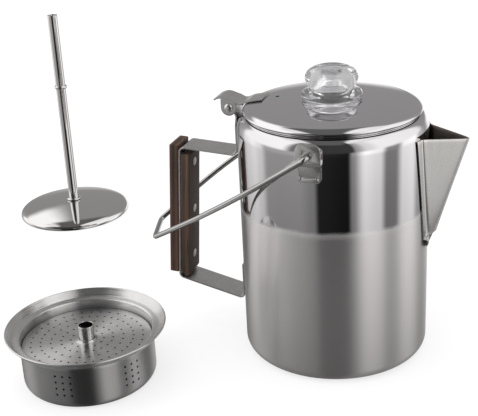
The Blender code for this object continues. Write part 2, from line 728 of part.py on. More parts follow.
def build_hinge_tab(axis):
    """A strip from the lid over the hinge, with two ears folded down beside the knuckle."""
    verts = [(x, y, z) for x, z in TAB_PATH for y in (-TAB_HALF, 0.0, TAB_HALF)]
    faces = []
    for i in range(len(TAB_PATH) - 1):
        for j in range(2):
            a = i * 3 + j
            faces.append((a, a + 1, a + 4, a + 3))
    for side, edge in ((-1, 0), (1, 2)):
        columns = []  # vertex numbers at the top, middle and bottom of the ear
        for i, (x, z) in enumerate(TAB_PATH):
            if abs(x - HINGE_X) > EAR_R + 0.001:
                continue
            low = HINGE_Z - math.sqrt(max(0.0, EAR_R**2 - (x - HINGE_X) ** 2))
            middle = len(verts)
            verts.append((x, side * TAB_HALF, (z + low) / 2))
            verts.append((x, side * TAB_HALF, low))
            columns.append((i * 3 + edge, middle, middle + 1))
        for a, b in zip(columns, columns[1:]):
            for k in range(2):
                quad = (a[k], a[k + 1], b[k + 1], b[k])
                faces.append(quad[::-1] if side < 0 else quad)
    tab = mesh_object("hinge_tab", verts, (), faces)
    # make the normals agree, with the strip's pointing up
    bm = bmesh.new()
    bm.from_mesh(tab.data)
    bmesh.ops.recalc_face_normals(bm, faces=bm.faces)
    bm.faces.ensure_lookup_table()
    if bm.faces[0].normal.z < 0:
        bmesh.ops.reverse_faces(bm, faces=bm.faces)
    bm.to_mesh(tab.data)
    bm.free()
    plate = tab.modifiers.new("plate", "SOLIDIFY")
    plate.thickness = TAB_T * MM
    plate.offset = 0.0
    plate.use_even_offset = True
    bore = cylinder(PIN_BORE_R, 30.0, (HINGE_X, 0.0, HINGE_Z), (0, 1, 0))
    boolean(tab, merged("ear_bore", [bore]))
    smooth(tab)
    add(tab, tab_steel, axis)


def build_lid():
    axis = pivot("lid_axis", HINGE_X, 0.0, HINGE_Z)
    build_lid_shell(axis)
    build_lid_ring(axis)
    build_hinge_tab(axis)


# ---------------------------------------------------------------- glass knob
KNOB_TOP_Z = 220.0
KNOB_FLANGE_R = 22.25
KNOB_CROWN_R = 19.2
KNOB_BOTTOM_Z = 189.8
# (radius, z): slightly dished crown, waist, flange, neck through the lid, hollow from below
KNOB_PROFILE = [
    (0.0, KNOB_TOP_Z - 0.45),
    (6.0, KNOB_TOP_Z - 0.35),
    (10.5, KNOB_TOP_Z),
    (13.8, KNOB_TOP_Z - 0.95),
    (17.6, KNOB_TOP_Z - 3.4),
    (KNOB_CROWN_R, KNOB_TOP_Z - 7.0),
    (18.6, KNOB_TOP_Z - 10.6),
    (16.8, KNOB_TOP_Z - 13.6),
    (16.6, KNOB_TOP_Z - 15.4),
    (18.4, KNOB_TOP_Z - 16.9),
    (21.2, KNOB_TOP_Z - 18.1),
    (KNOB_FLANGE_R, KNOB_TOP_Z - 20.0),
    (21.6, KNOB_TOP_Z - 21.8),
    (20.0, LID_TOP_Z + GAP),
    (KNOB_NECK_R, LID_TOP_Z + GAP),
    (KNOB_NECK_R, KNOB_BOTTOM_Z),
    (KNOB_NECK_R - 2.4, KNOB_BOTTOM_Z),
    (KNOB_NECK_R - 2.7, 205.0),
    (KNOB_NECK_R - 3.6, 209.2),
    (KNOB_NECK_R - 6.4, 211.6),
    (0.0, 212.2),
]


def build_knob():
    knob = turned("glass_knob", KNOB_PROFILE, 26, closed=False)
    # two bayonet lugs, along X while the lid's notches lie along Y; they start inside the neck
    root = KNOB_NECK_R - 1.0
    lugs = [
        block((low, -3.6, 191.6), (high, 3.6, 195.7))
        for low, high in ((root, KNOB_LUG_R), (-KNOB_LUG_R, -root))
    ]
    boolean(knob, merged("knob_lugs", lugs), "UNION")
    add(knob, knob_glass, pivot("knob_axis", 0.0, 0.0, LID_TOP_Z))


# ---------------------------------------------------------------- pump stem
PUMP_PLACE = (-330.0, 197.0)
PUMP_HEIGHT = 208.0
TUBE_R = 4.9
TUBE_BORE = 4.3
TUBE_BOTTOM_Z = 6.0
TUBE_FIT_R = TUBE_R + GAP  # bore of the parts round the tube
STOP_Z = 135.0
BELL_R = 56.0
BELL_T = 0.8
BELL_TOP_Z = 13.0

TUBE_PROFILE = [
    (TUBE_BORE, PUMP_HEIGHT - 0.3),
    (TUBE_BORE + 0.3, PUMP_HEIGHT),
    (TUBE_R - 0.1, PUMP_HEIGHT),
    (TUBE_R, PUMP_HEIGHT - 0.4),
    (TUBE_R, TUBE_BOTTOM_Z),
    (TUBE_BORE, TUBE_BOTTOM_Z),
]
# (radius, z): over the top, round the rolled foot and back underneath
BELL_PROFILE = [
    (TUBE_FIT_R, BELL_TOP_Z),
    (16.0, BELL_TOP_Z - 0.6),
    (30.0, BELL_TOP_Z - 2.1),
    (42.0, BELL_TOP_Z - 4.2),
    (50.0, BELL_TOP_Z - 6.1),
    (53.6, BELL_TOP_Z - 7.5),
    (55.4, BELL_TOP_Z - 9.2),
    (BELL_R, BELL_TOP_Z - 10.8),
    (BELL_R, 0.9), (55.2, 0.0), (53.6, 0.0), (53.2, 0.8), (54.4, 1.6),
    (54.4, BELL_TOP_Z - 10.8),
    (53.0, BELL_TOP_Z - 8.5),
    (49.8, BELL_TOP_Z - 7.1),
    (42.0, BELL_TOP_Z - 5.1),
    (30.0, BELL_TOP_Z - 2.9),
    (16.0, BELL_TOP_Z - 1.4),
    (TUBE_FIT_R, BELL_TOP_Z - BELL_T),
]


def bead_ring(name, z, outer_r, height):
    """A ring round the tube with a rounded outside."""
    land_r, half = TUBE_FIT_R + 0.4, height / 2
    profile = [(TUBE_FIT_R, z + half), (land_r, z + half)]
    for degrees in (50, 0, -50):
        angle = math.radians(degrees)
        radius = land_r + (outer_r - land_r) * math.cos(angle)
        profile.append((radius, z + half * math.sin(angle)))
    profile += [(land_r, z - half), (TUBE_FIT_R, z - half)]
    return turned(name, profile, 16)


def build_pump():
    axis = pivot("pump_axis", *PUMP_PLACE, 0.0)
    collar_z = BELL_TOP_Z + GAP + 1.0
    for piece, mat in (
        (turned("pump_tube", TUBE_PROFILE, 20), tube_steel),
        (turned("pump_bell", BELL_PROFILE, 36), bell_steel),
        (bead_ring("basket_stop_ring", STOP_Z, outer_r=6.3, height=3.0), stop_steel),
        (bead_ring("bell_collar", collar_z, outer_r=7.3, height=2.0), stop_steel),
    ):
        add(stand(piece, PUMP_PLACE), mat, axis)


# ---------------------------------------------------------------- basket
BASKET_PLACE = (-167.0, -98.0)
BASKET_H = 43.0
BASKET_R = 50.0
BASKET_CORNER = 6.0  # outer radius of the bottom corner
BASKET_RIM_R = 60.0
BASKET_T = 0.7
LEDGE_Z = BASKET_H - 6.0
BASKET_TUBE_R = 5.8
BASKET_TUBE_BORE = 5.2
BASKET_TUBE_TOP = 42.0
BASKET_TUBE_BOTTOM = 0.2
BASKET_HOLE_R = 0.9
BOTTOM_RINGS = ((14.0, 8, 0.0), (24.0, 12, 0.0), (34.0, 16, 0.0))  # (radius, count, phase)

# ledge and flared rim, from the inner side of the wall over to its outer side, (radius, z)
BASKET_RIM = [
    (BASKET_R - BASKET_T, LEDGE_Z - 0.6),
    (BASKET_R, LEDGE_Z + BASKET_T - 0.5),
    (BASKET_RIM_R - 5.2, LEDGE_Z + BASKET_T),
    (BASKET_RIM_R - 1.6, BASKET_H - 0.9),
    (BASKET_RIM_R - 0.7, BASKET_H),
    (BASKET_RIM_R, BASKET_H - 0.5),
    (BASKET_RIM_R - 0.2, BASKET_H - 1.2),
    (BASKET_RIM_R - 4.2, LEDGE_Z - 0.2),
    (BASKET_R + 1.0, LEDGE_Z - 0.5),
    (BASKET_R, LEDGE_Z - 1.2),
]
BASKET_TUBE_PROFILE = [
    (BASKET_TUBE_BORE, BASKET_TUBE_TOP),
    (BASKET_TUBE_R, BASKET_TUBE_TOP),
    (BASKET_TUBE_R, BASKET_TUBE_BOTTOM),
    (BASKET_TUBE_BORE, BASKET_TUBE_BOTTOM),
]


def basket_side_holes():
    """Six groups of holes, three columns by four rows."""
    holes = []
    for group in range(6):
        for column in (-1, 0, 1):
            for row in range(4):
                angle = math.radians(60 * group + 6.5 * column - 85.0)
                out = (math.cos(angle), math.sin(angle), 0.0)
                centre = (out[0] * BASKET_R, out[1] * BASKET_R, 11.7 + 5.1 * row)
                holes.append(cylinder(BASKET_HOLE_R, 5.0, centre, out, 5))
    return holes


def build_basket():
    corner = (BASKET_R - BASKET_CORNER, BASKET_CORNER)
    profile = [(BASKET_TUBE_R + GAP, BASKET_T)]
    profile += arc(*corner, BASKET_CORNER - BASKET_T, -90, 0, 3)
    profile += BASKET_RIM
    profile += arc(*corner, BASKET_CORNER, 0, -90, 3)
    profile += [(BASKET_TUBE_R + GAP, 0.0)]
    shell = stand(turned("basket_shell", profile, 36), BASKET_PLACE)
    holes = basket_side_holes() + hole_rings(BOTTOM_RINGS, BASKET_HOLE_R, 0.0)
    boolean(shell, stand(merged("basket_holes", holes), BASKET_PLACE))
    axis = pivot("basket_axis", *BASKET_PLACE, 0.0)
    add(shell, basket_steel, axis)
    tube = turned("basket_centre_tube", BASKET_TUBE_PROFILE, 20)
    add(stand(tube, BASKET_PLACE), tube_steel, axis)


# ---------------------------------------------------------------- perforated cover in the basket
COVER_Z = 29.3
COVER_R = 48.9
COVER_T = 0.7
COVER_BORE = BASKET_TUBE_R + 0.35
# (radius, z), with a raised collar round the bore
COVER_PROFILE = [
    (COVER_BORE, COVER_Z + 2.2),
    (COVER_BORE + 0.7, COVER_Z + 2.2),
    (COVER_BORE + 1.0, COVER_Z + 1.2),
    (COVER_BORE + 2.2, COVER_Z + COVER_T),
    (COVER_R, COVER_Z + COVER_T),
    (COVER_R, COVER_Z),
    (COVER_BORE + 1.8, COVER_Z),
    (COVER_BORE, COVER_Z + 1.0),
]
# (radius, count, phase in degrees)
COVER_RINGS = (
    (12.4, 12, 22.5),
    (19.5, 20, 4.1),
    (27.2, 24, 14.3),
    (34.8, 36, 3.4),
    (42.1, 36, 1.8),
)


def build_cover():
    cover = stand(turned("basket_cover", COVER_PROFILE, 36), BASKET_PLACE)
    holes = merged("cover_holes", hole_rings(COVER_RINGS, 0.8, COVER_Z))
    boolean(cover, stand(holes, BASKET_PLACE))
    add(cover, cover_steel, pivot("cover_axis", *BASKET_PLACE, COVER_Z))


# ---------------------------------------------------------------- build
build_pot()
build_spout()
build_strap()
build_slab("grip_outer", OUTER_SLAB, outer_walnut)
build_slab("grip_inner", INNER_SLAB, inner_walnut)
build_rivets()
build_lug("front", -1)
build_lug("rear", 1)
build_bail()
build_hinge_pin()
build_lid()
build_knob()
build_pump()
build_basket()
build_cover()
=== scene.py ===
"""Looks of a coffee percolator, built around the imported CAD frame.

The pot stands on Z = 0 with its axis on Z, its spout toward +X and its strap handle and lid hinge
toward -X. The front is -Y. Pump and basket have axes of their own. Sizes are in millimetres.
"""

import json
import math

import bmesh
import bpy
import numpy as np
from mathutils import Matrix, Vector


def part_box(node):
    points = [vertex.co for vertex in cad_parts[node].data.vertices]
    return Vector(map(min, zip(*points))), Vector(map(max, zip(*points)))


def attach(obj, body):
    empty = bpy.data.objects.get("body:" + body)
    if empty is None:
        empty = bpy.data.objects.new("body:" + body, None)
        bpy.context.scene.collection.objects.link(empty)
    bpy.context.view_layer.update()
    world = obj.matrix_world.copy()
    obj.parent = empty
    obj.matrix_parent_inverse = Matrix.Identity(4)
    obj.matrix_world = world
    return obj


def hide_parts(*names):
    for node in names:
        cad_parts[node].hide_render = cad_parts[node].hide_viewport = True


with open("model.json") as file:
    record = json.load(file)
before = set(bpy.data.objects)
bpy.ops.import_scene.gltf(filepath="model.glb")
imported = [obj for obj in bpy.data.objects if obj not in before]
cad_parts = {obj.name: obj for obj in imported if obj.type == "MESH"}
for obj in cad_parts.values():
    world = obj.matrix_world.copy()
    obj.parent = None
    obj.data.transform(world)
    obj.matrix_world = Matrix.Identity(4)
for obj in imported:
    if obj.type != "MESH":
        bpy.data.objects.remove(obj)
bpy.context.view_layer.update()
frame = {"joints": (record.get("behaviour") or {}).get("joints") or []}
scene = bpy.context.scene
MM = 0.001  # metres in a millimetre


# ------------------------------------------------------------------ places, from the CAD frame
def box_mm(node):
    return [np.array(corner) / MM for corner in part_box(node)]


def far_corner(node):
    return [float(value) for value in box_mm(node)[1]]


def box_radius(node):
    low, high = box_mm(node)
    return (high[0] - low[0]) / 2


def centre_xy(node):
    low, high = box_mm(node)
    return tuple((low[:2] + high[:2]) / 2)


def joint_mm(name):
    found = next(joint for joint in frame["joints"] if joint["name"] == name)
    return [float(value) / MM for value in found["pos_m"]]


POT_R = far_corner("pot_body")[0]
LID_R, _, LID_TOP = far_corner("lid_shell")
KNOB_TOP = far_corner("glass_knob")[2]
HINGE_X, _, HINGE_Z = joint_mm("lid_hinge")
BAIL_X, _, BAIL_Z = joint_mm("bail_swing")
PUMP_XY = centre_xy("pump_bell")
BASKET_XY = centre_xy("basket_shell")

GAP = 0.3  # between the pot and the parts fixed to it, and between strap and grips
SHEET = 0.8  # sheet thickness of pot and spout
HINGE_BORE = 2.05  # inner radius of the strap's curl and of the ears' holes


# ------------------------------------------------------------------ curves and sections
def arc(x, z, radius, start, end, steps):
    angles = [math.radians(start + (end - start) * i / steps) for i in range(steps + 1)]
    return [(x + radius * math.cos(angle), z + radius * math.sin(angle)) for angle in angles]


def spline(points, steps):
    """Centripetal Catmull-Rom curve through (a, b) points; a third entry marks a corner."""
    runs, run = [], [points[0]]
    for point in points[1:]:
        run.append(point)
        if len(point) > 2:
            runs.append(run)
            run = [point]
    if len(run) > 1:
        runs.append(run)
    curve = [tuple(points[0][:2])]
    for run in runs:
        inner = [np.array(point[:2], float) for point in run]
        ends = 2 * inner[0] - inner[1], 2 * inner[-1] - inner[-2]
        padded = [ends[0]] + inner + [ends[1]]
        for first in range(len(padded) - 3):
            four = padded[first : first + 4]
            knots = [0.0]
            for a, b in zip(four, four[1:]):
                knots.append(knots[-1] + max(1e-9, np.linalg.norm(b - a)) ** 0.5)
            for k in range(1, steps + 1):
                at = knots[1] + (knots[2] - knots[1]) * k / steps
                level = four
                for spans in (((0, 1), (1, 2), (2, 3)), ((0, 2), (1, 3)), ((1, 2),)):
                    level = [
                        (knots[j] - at) / (knots[j] - knots[i]) * level[n]
                        + (at - knots[i]) / (knots[j] - knots[i]) * level[n + 1]
                        for n, (i, j) in enumerate(spans)
                    ]
                curve.append((float(level[0][0]), float(level[0][1])))
    return curve


def rounded(points, radii, steps):
    """A flat polyline with each inner corner rounded."""
    curve = [tuple(points[0])]
    for i, radius in enumerate(radii, 1):
        corner, before, after = (Vector(points[k]) for k in (i, i - 1, i + 1))
        back, ahead = (before - corner).normalized(), (after - corner).normalized()
        half = math.acos(max(-1.0, min(1.0, back.dot(ahead)))) / 2
        reach = radius / math.tan(half)
        centre = corner + (back + ahead).normalized() * (radius / math.sin(half))
        start, end = corner + back * reach - centre, corner + ahead * reach - centre
        span = start.angle_signed(end)
        for k in range(steps + 1):
            point = centre + Matrix.Rotation(-span * k / steps, 2) @ start
            curve.append((point.x, point.y))
    curve.append(tuple(points[-1]))
    return curve


def unit(vector):
    return vector / np.linalg.norm(vector)


def strip_path(line):
    """(point, normal, binormal) along an (x, z) centreline, mitred, with the binormal along Y."""
    path = []
    for i, (x, z) in enumerate(line):
        here = np.array((x, z))
        before, after = np.array(line[max(i - 1, 0)]), np.array(line[min(i + 1, len(line) - 1)])
        arriving = unit(here - before if i else after - here)
        leaving = unit(after - here) if i < len(line) - 1 else arriving
        along = unit(arriving + leaving)
        normal = np.array((-along[1], along[0]))
        mitre = 1.0 / max(0.4, float(normal @ np.array((-arriving[1], arriving[0]))))
        path.append(((x, 0.0, z), (normal[0] * mitre, 0.0, normal[1] * mitre), (0.0, 1.0, 0.0)))
    return path


def round_rect(thickness, width, radius):
    """Section of a rolled strip: thickness along the normal, width along the binormal."""
    points = []
    for a, b, start in ((1, 1, 0), (-1, 1, 90), (-1, -1, 180), (1, -1, 270)):
        centre = a * (thickness / 2 - radius), b * (width / 2 - radius)
        points += arc(*centre, radius, start, start + 90, 4)
    return points


# ------------------------------------------------------------------ mesh helpers
def shade(obj, sharp=38.0):
    obj.data.shade_smooth()
    obj.data.set_sharp_from_angle(angle=math.radians(sharp))


def new_object(name, verts, faces, sharp=38.0):
    mesh = bpy.data.meshes.new(name)
    mesh.from_pydata([Vector(vert) * MM for vert in verts], [], faces)
    mesh.validate()
    obj = bpy.data.objects.new(name, mesh)
    scene.collection.objects.link(obj)
    shade(obj, sharp)
    return obj


def face_outward(obj):
    bm = bmesh.new()
    bm.from_mesh(obj.data)
    bmesh.ops.recalc_face_normals(bm, faces=bm.faces)
    bm.to_mesh(obj.data)
    bm.free()
    shade(obj)


def lathe(name, profile, steps, centre=(0.0, 0.0), bend=None, sharp=38.0):
    """Turns a closed (radius, height) profile. bend(radius, z, angle) may change the radius.

    A point on the axis becomes a single vertex.
    """
    verts, rings = [], []
    for radius, z in profile:
        first = len(verts)
        if radius < 1e-6:
            verts.append((*centre, z))
        else:
            for k in range(steps):
                angle = math.tau * k / steps
                bent = bend(radius, z, angle) if bend else radius
                x = centre[0] + bent * math.cos(angle)
                y = centre[1] + bent * math.sin(angle)
                verts.append((x, y, z))
        rings.append(range(first, len(verts)))
    faces = []
    for a, b in zip(rings, rings[1:] + rings[:1]):
        if len(a) == 1 and len(b) == 1:
            continue
        for k in range(steps):
            m = (k + 1) % steps
            if len(a) == 1:
                faces.append((a[0], b[k], b[m]))
            elif len(b) == 1:
                faces.append((a[k], b[0], a[m]))
            else:
                faces.append((a[k], b[k], b[m], a[m]))
    return new_object(name, verts, faces, sharp)


def sweep(name, path, sections):
    """Carries closed sections of (normal, binormal) offsets along (point, normal, binormal)s."""
    verts = []
    for (point, normal, binormal), section in zip(path, sections):
        for a, b in section:
            verts.append(tuple(np.array(point) + a * np.array(normal) + b * np.array(binormal)))
    n = len(sections[0])
    last = (len(path) - 1) * n
    faces = []
    for row in range(0, last, n):
        for k in range(n):
            m = (k + 1) % n
            faces.append((row + k, row + m, row + n + m, row + n + k))
    faces.append(tuple(range(n))[::-1])
    faces.append(tuple(last + k for k in range(n)))
    obj = new_object(name, verts, faces)
    face_outward(obj)
    return obj


def prism(name, outline, half, middle=0.0):
    """A flat (x, z) outline made thick along Y, half to each side of the middle."""
    n = len(outline)
    verts = [(x, middle - half, z) for x, z in outline]
    verts += [(x, middle + half, z) for x, z in outline]
    faces = [tuple(range(n)), tuple(range(2 * n - 1, n - 1, -1))]
    faces += [(k, k + n, (k + 1) % n + n, (k + 1) % n) for k in range(n)]
    obj = new_object(name, verts, faces)
    face_outward(obj)
    return obj


def from_bmesh(name, bm):
    mesh = bpy.data.meshes.new(name)
    bm.to_mesh(mesh)
    bm.free()
    obj = bpy.data.objects.new(name, mesh)
    scene.collection.objects.link(obj)
    return obj


def turn_to(axis):
    """The rotation that carries +Z to an axis."""
    return Vector((0, 0, 1)).rotation_difference(Vector(axis)).to_matrix().to_4x4()


def shift(x, y, z):
    return Matrix.Translation(Vector((x, y, z)) * MM)


def ball(radius, centre):
    bm = bmesh.new()
    bmesh.ops.create_uvsphere(bm, u_segments=24, v_segments=12, radius=radius * MM)
    bmesh.ops.translate(bm, vec=Vector(centre) * MM, verts=bm.verts)
    return from_bmesh("ball", bm)


def rod(radius, length, centre, axis, segments):
    bm = bmesh.new()
    bmesh.ops.create_cone(
        bm,
        cap_ends=True,
        segments=segments,
        radius1=radius * MM,
        radius2=radius * MM,
        depth=length * MM,
    )
    bmesh.ops.transform(bm, matrix=shift(*centre) @ turn_to(axis), verts=bm.verts)
    return from_bmesh("rod", bm)


def gathered(objects):
    bm = bmesh.new()
    for obj in objects:
        bm.from_mesh(obj.data)
        bpy.data.objects.remove(obj, do_unlink=True)
    return from_bmesh("gathered", bm)


def modify(obj, kind, sharp=38.0, **settings):
    """Puts one modifier on and replaces the mesh by its evaluated form."""
    modifier = obj.modifiers.new(kind.lower(), kind)
    for key, value in settings.items():
        setattr(modifier, key, value)
    bpy.context.view_layer.update()
    graph = bpy.context.evaluated_depsgraph_get()
    mesh = bpy.data.meshes.new_from_object(obj.evaluated_get(graph))
    obj.modifiers.clear()
    obj.data = mesh
    shade(obj, sharp)


def cut(obj, cutter, operation="DIFFERENCE", sharp=38.0):
    modify(obj, "BOOLEAN", sharp, operation=operation, solver="EXACT", object=cutter)
    bpy.data.objects.remove(cutter, do_unlink=True)


def bevel(obj, width, segments, angle, sharp=38.0):
    limit = dict(limit_method="ANGLE", angle_limit=math.radians(angle))
    modify(obj, "BEVEL", sharp, width=width * MM, segments=segments, **limit)


def finish_piece(obj, material, body):
    obj.data.materials.clear()
    obj.data.materials.append(material)
    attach(obj, body)
    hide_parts(obj.name.removesuffix("_fine"))


# ------------------------------------------------------------------ node graphs
class Graph:
    """Short names for building the node tree of a material or world."""

    def __init__(self, owner):
        owner.use_nodes = True
        self.owner = owner
        self.tree = owner.node_tree
        self.shader = self.tree.nodes.get("Principled BSDF")

    def node(self, kind, **settings):
        made = self.tree.nodes.new(kind)
        for key, value in settings.items():
            setattr(made, key, value)
        return made

    def link(self, source, socket):
        self.tree.links.new(source, socket)

    def feed(self, socket, value):
        if isinstance(value, bpy.types.NodeSocket):
            self.link(value, socket)
        else:
            socket.default_value = value

    def calc(self, operation, a, b=0.0, c=None, clamp=False):
        made = self.node("ShaderNodeMath", operation=operation, use_clamp=clamp)
        self.feed(made.inputs[0], a)
        self.feed(made.inputs[1], b)
        if c is not None:
            self.feed(made.inputs[2], c)
        return made.outputs[0]

    def times(self, a, b):
        return self.calc("MULTIPLY", a, b)

    def add(self, a, b, clamp=False):
        return self.calc("ADD", a, b, clamp=clamp)

    def weighted(self, a, share_a, b, share_b):
        return self.add(self.times(a, share_a), self.times(b, share_b))

    def distance(self, x, y):
        return self.calc("SQRT", self.add(self.times(x, x), self.times(y, y)))

    def texture(self):
        return self.node("ShaderNodeTexCoord").outputs

    def split(self, vector):
        made = self.node("ShaderNodeSeparateXYZ")
        self.link(vector, made.inputs[0])
        return made.outputs

    def coords(self, scale, rotation=(0, 0, 0)):
        made = self.node("ShaderNodeMapping")
        made.inputs["Scale"].default_value = scale
        made.inputs["Rotation"].default_value = rotation
        self.link(self.texture()["Object"], made.inputs["Vector"])
        return made.outputs["Vector"]

    def vector_math(self, operation, vector, amounts):
        made = self.node("ShaderNodeVectorMath", operation=operation)
        self.link(vector, made.inputs[0])
        made.inputs[1].default_value = amounts
        return made.outputs[0]

    def noise(self, vector, detail, rough, distortion=0.0):
        """Noise in scaled coordinates; a plain (x, y, z) scale stands for object coordinates."""
        if isinstance(vector, tuple):
            vector = self.coords(vector)
        made = self.node("ShaderNodeTexNoise")
        self.link(vector, made.inputs["Vector"])
        made.inputs["Scale"].default_value = 1.0
        made.inputs["Detail"].default_value = detail
        made.inputs["Roughness"].default_value = rough
        made.inputs["Distortion"].default_value = distortion
        return made.outputs["Fac"]

    def ramp(self, value, stops, interpolation="LINEAR"):
        """Stops are (position, colour or grey level)."""
        made = self.node("ShaderNodeValToRGB")
        made.color_ramp.interpolation = interpolation
        elements = made.color_ramp.elements
        while len(elements) < len(stops):
            elements.new(0.5)
        for element, (position, colour) in zip(elements, stops):
            element.position = position
            element.color = (*colour, 1.0) if isinstance(colour, tuple) else (*[colour] * 3, 1.0)
        self.feed(made.inputs["Fac"], value)
        return made.outputs["Color"]

    def spread(self, value, over=(0.0, 1.0), to=(0.0, 1.0), smooth=False):
        """Maps one range of a value to another."""
        made = self.node("ShaderNodeMapRange")
        made.interpolation_type = "SMOOTHSTEP" if smooth else "LINEAR"
        self.feed(made.inputs["Value"], value)
        for key, bound in zip(("From Min", "From Max", "To Min", "To Max"), (*over, *to)):
            self.feed(made.inputs[key], bound)
        return made.outputs["Result"]

    def mix(self, share, a, b, blend="MIX"):
        made = self.node("ShaderNodeMix", data_type="RGBA", blend_type=blend)
        self.feed(made.inputs["Factor"], share)
        for index, value in ((6, a), (7, b)):  # the colour sockets A and B
            self.feed(made.inputs[index], (*value, 1.0) if isinstance(value, tuple) else value)
        return made.outputs[2]

    def tone(self, colour, factor):
        return self.mix(1.0, colour, factor, "MULTIPLY")

    def bump(self, height, strength, distance, normal=None):
        made = self.node("ShaderNodeBump")
        self.feed(made.inputs["Height"], height)
        made.inputs["Strength"].default_value = strength
        made.inputs["Distance"].default_value = distance
        if normal is not None:
            self.link(normal, made.inputs["Normal"])
        return made.outputs["Normal"]

    def set(self, **values):
        """Feeds the Principled shader; an underscore stands for a space."""
        for key, value in values.items():
            self.feed(self.shader.inputs[key.replace("_", " ")], value)

    def stretch_highlights(self, amount):
        """Anisotropy across circular lines about Z."""
        tangent = self.node("ShaderNodeTangent", direction_type="RADIAL", axis="Z")
        self.set(Anisotropic=amount, Anisotropic_Rotation=0.25, Tangent=tangent.outputs[0])


# Shader positions are in metres.
def about_axis(graph, centre):
    """x, y, radius and height from a vertical axis."""
    x, y, z = graph.split(graph.texture()["Object"])
    x = graph.calc("SUBTRACT", x, centre[0] * MM)
    y = graph.calc("SUBTRACT", y, centre[1] * MM)
    return x, y, graph.distance(x, y), z


def turned(graph, centre, angle, radius, height):
    """Scaled (angle, radius, height) about a vertical axis, and the plain height."""
    x, y, distance, z = about_axis(graph, centre)
    join = graph.node("ShaderNodeCombineXYZ")
    graph.link(graph.times(graph.calc("ARCTAN2", y, x), angle), join.inputs[0])
    graph.link(graph.times(distance, radius), join.inputs[1])
    graph.link(graph.times(z, height), join.inputs[2])
    return join.outputs[0], z


# ------------------------------------------------------------------ materials
def steel(
    name,
    base,
    rough,
    spin=None,
    grain=None,
    line=0.03,
    wave=0.0,
    smudge=0.03,
    tint=0.04,
    relief=1.0,
    fill=0.0,
    aniso=0.0,
    shade_by=None,
):
    """Stainless steel.

    spin: (x, y) of the axis of circular spun lines; grain: noise scale of drawn lines instead.
    line, smudge: how much lines and clouds change the roughness; tint: change of colour.
    wave: depth of broad ripples; relief: depth of the lines.
    fill: share scattered by fine scratches; aniso: stretch of highlights across spun lines.
    shade_by(graph, colour, roughness) can paint shade on a region and make it rougher.
    """
    graph = Graph(bpy.data.materials.new(name))
    if spin is not None:
        fine, _ = turned(graph, spin, angle=1.6, radius=9000.0, height=9000.0)
        wide, _ = turned(graph, spin, angle=0.9, radius=1400.0, height=1400.0)
    else:
        fine, wide = grain, tuple(scale * 0.18 for scale in grain)
    lines = graph.noise(fine, detail=3.0, rough=0.6)
    bands = graph.noise(wide, detail=2.0, rough=0.5)
    cloud = graph.noise((38, 38, 38), detail=3.0, rough=0.55)
    mixed = graph.weighted(lines, 0.6, bands, 0.4)
    swing = rough * (1 - line * 4), rough * (1 + line * 4)
    roughness = graph.spread(mixed, over=(0.25, 0.75), to=swing)
    smudges = graph.spread(cloud, over=(0.45, 0.75), to=(0.0, smudge))
    roughness = graph.add(roughness, smudges, clamp=True)
    colour = graph.mix(
        graph.spread(cloud, over=(0.3, 0.7)),
        tuple(part * (1 - tint) for part in base),
        tuple(min(1.0, part * (1 + tint)) for part in base),
    )
    if shade_by is not None:
        colour, roughness = shade_by(graph, colour, roughness)
    depth = 0.05 * min(1.0, rough * 3) * relief
    normal = graph.bump(mixed, strength=depth, distance=0.00003)
    if wave:
        ripples = graph.noise((22, 22, 16), detail=1.0, rough=0.4)
        normal = graph.bump(ripples, strength=wave, distance=0.0012, normal=normal)
    graph.set(Base_Color=colour, Metallic=1.0 - fill, Roughness=roughness, Normal=normal)
    if aniso:
        graph.stretch_highlights(aniso)
    return graph.owner


def lid_underside_painted_shade(graph, colour, rough):
    """Painted shade darkens the rolled edge where it turns under, and the edge is rougher there."""
    _, _, radius, _ = about_axis(graph, (0, 0))
    facing = graph.split(graph.texture()["Normal"])[2]
    downward = graph.spread(facing, over=(-0.35, -0.05), to=(1.0, 0.0))
    under = graph.times(downward, graph.spread(radius, over=(0.0590, 0.0605)))
    # painted shade: the down-facing turn of the rim is darkened
    colour = graph.tone(colour, graph.spread(under, to=(1.0, 0.22)))
    return colour, graph.add(rough, graph.times(under, 0.30), clamp=True)


def punched_holes(graph, colour, rough):
    """The walls of the punched holes are unlit and unpolished."""
    _, _, radius, _ = about_axis(graph, BASKET_XY)
    facing = graph.split(graph.texture()["Normal"])[2]
    upright = graph.calc("ABSOLUTE", facing)
    steep = graph.spread(upright, over=(0.35, 0.55), to=(1.0, 0.0))
    beyond_collar = graph.spread(radius, over=(0.0095, 0.0100))
    within_edge = graph.spread(radius, over=(0.0470, 0.0475), to=(1.0, 0.0))
    hole = graph.times(steep, graph.times(beyond_collar, within_edge))
    colour = graph.tone(colour, graph.spread(hole, to=(1.0, 0.10)))
    return colour, graph.add(rough, graph.times(hole, 0.3), clamp=True)


def basket_tones_and_painted_shade(graph, colour, rough):
    """The drawn wall is duller than the turned rim, and painted shade darkens the inside under the
    cover.
    """
    _, _, radius, z = about_axis(graph, BASKET_XY)
    wall = graph.spread(z, over=(0.0315, 0.0350), to=(1.0, 0.0))
    within = graph.spread(radius, over=(0.0490, 0.0494), to=(1.0, 0.0))
    # painted shade on the inside under the cover
    inner = graph.times(within, graph.spread(z, over=(0.0250, 0.0290), to=(1.0, 0.0)))
    wall_tone = graph.spread(wall, to=(1.0, 0.60))
    factor = graph.times(wall_tone, graph.spread(inner, to=(1.0, 0.45)))
    return graph.tone(colour, factor), graph.calc("MULTIPLY_ADD", wall, 0.04, rough)


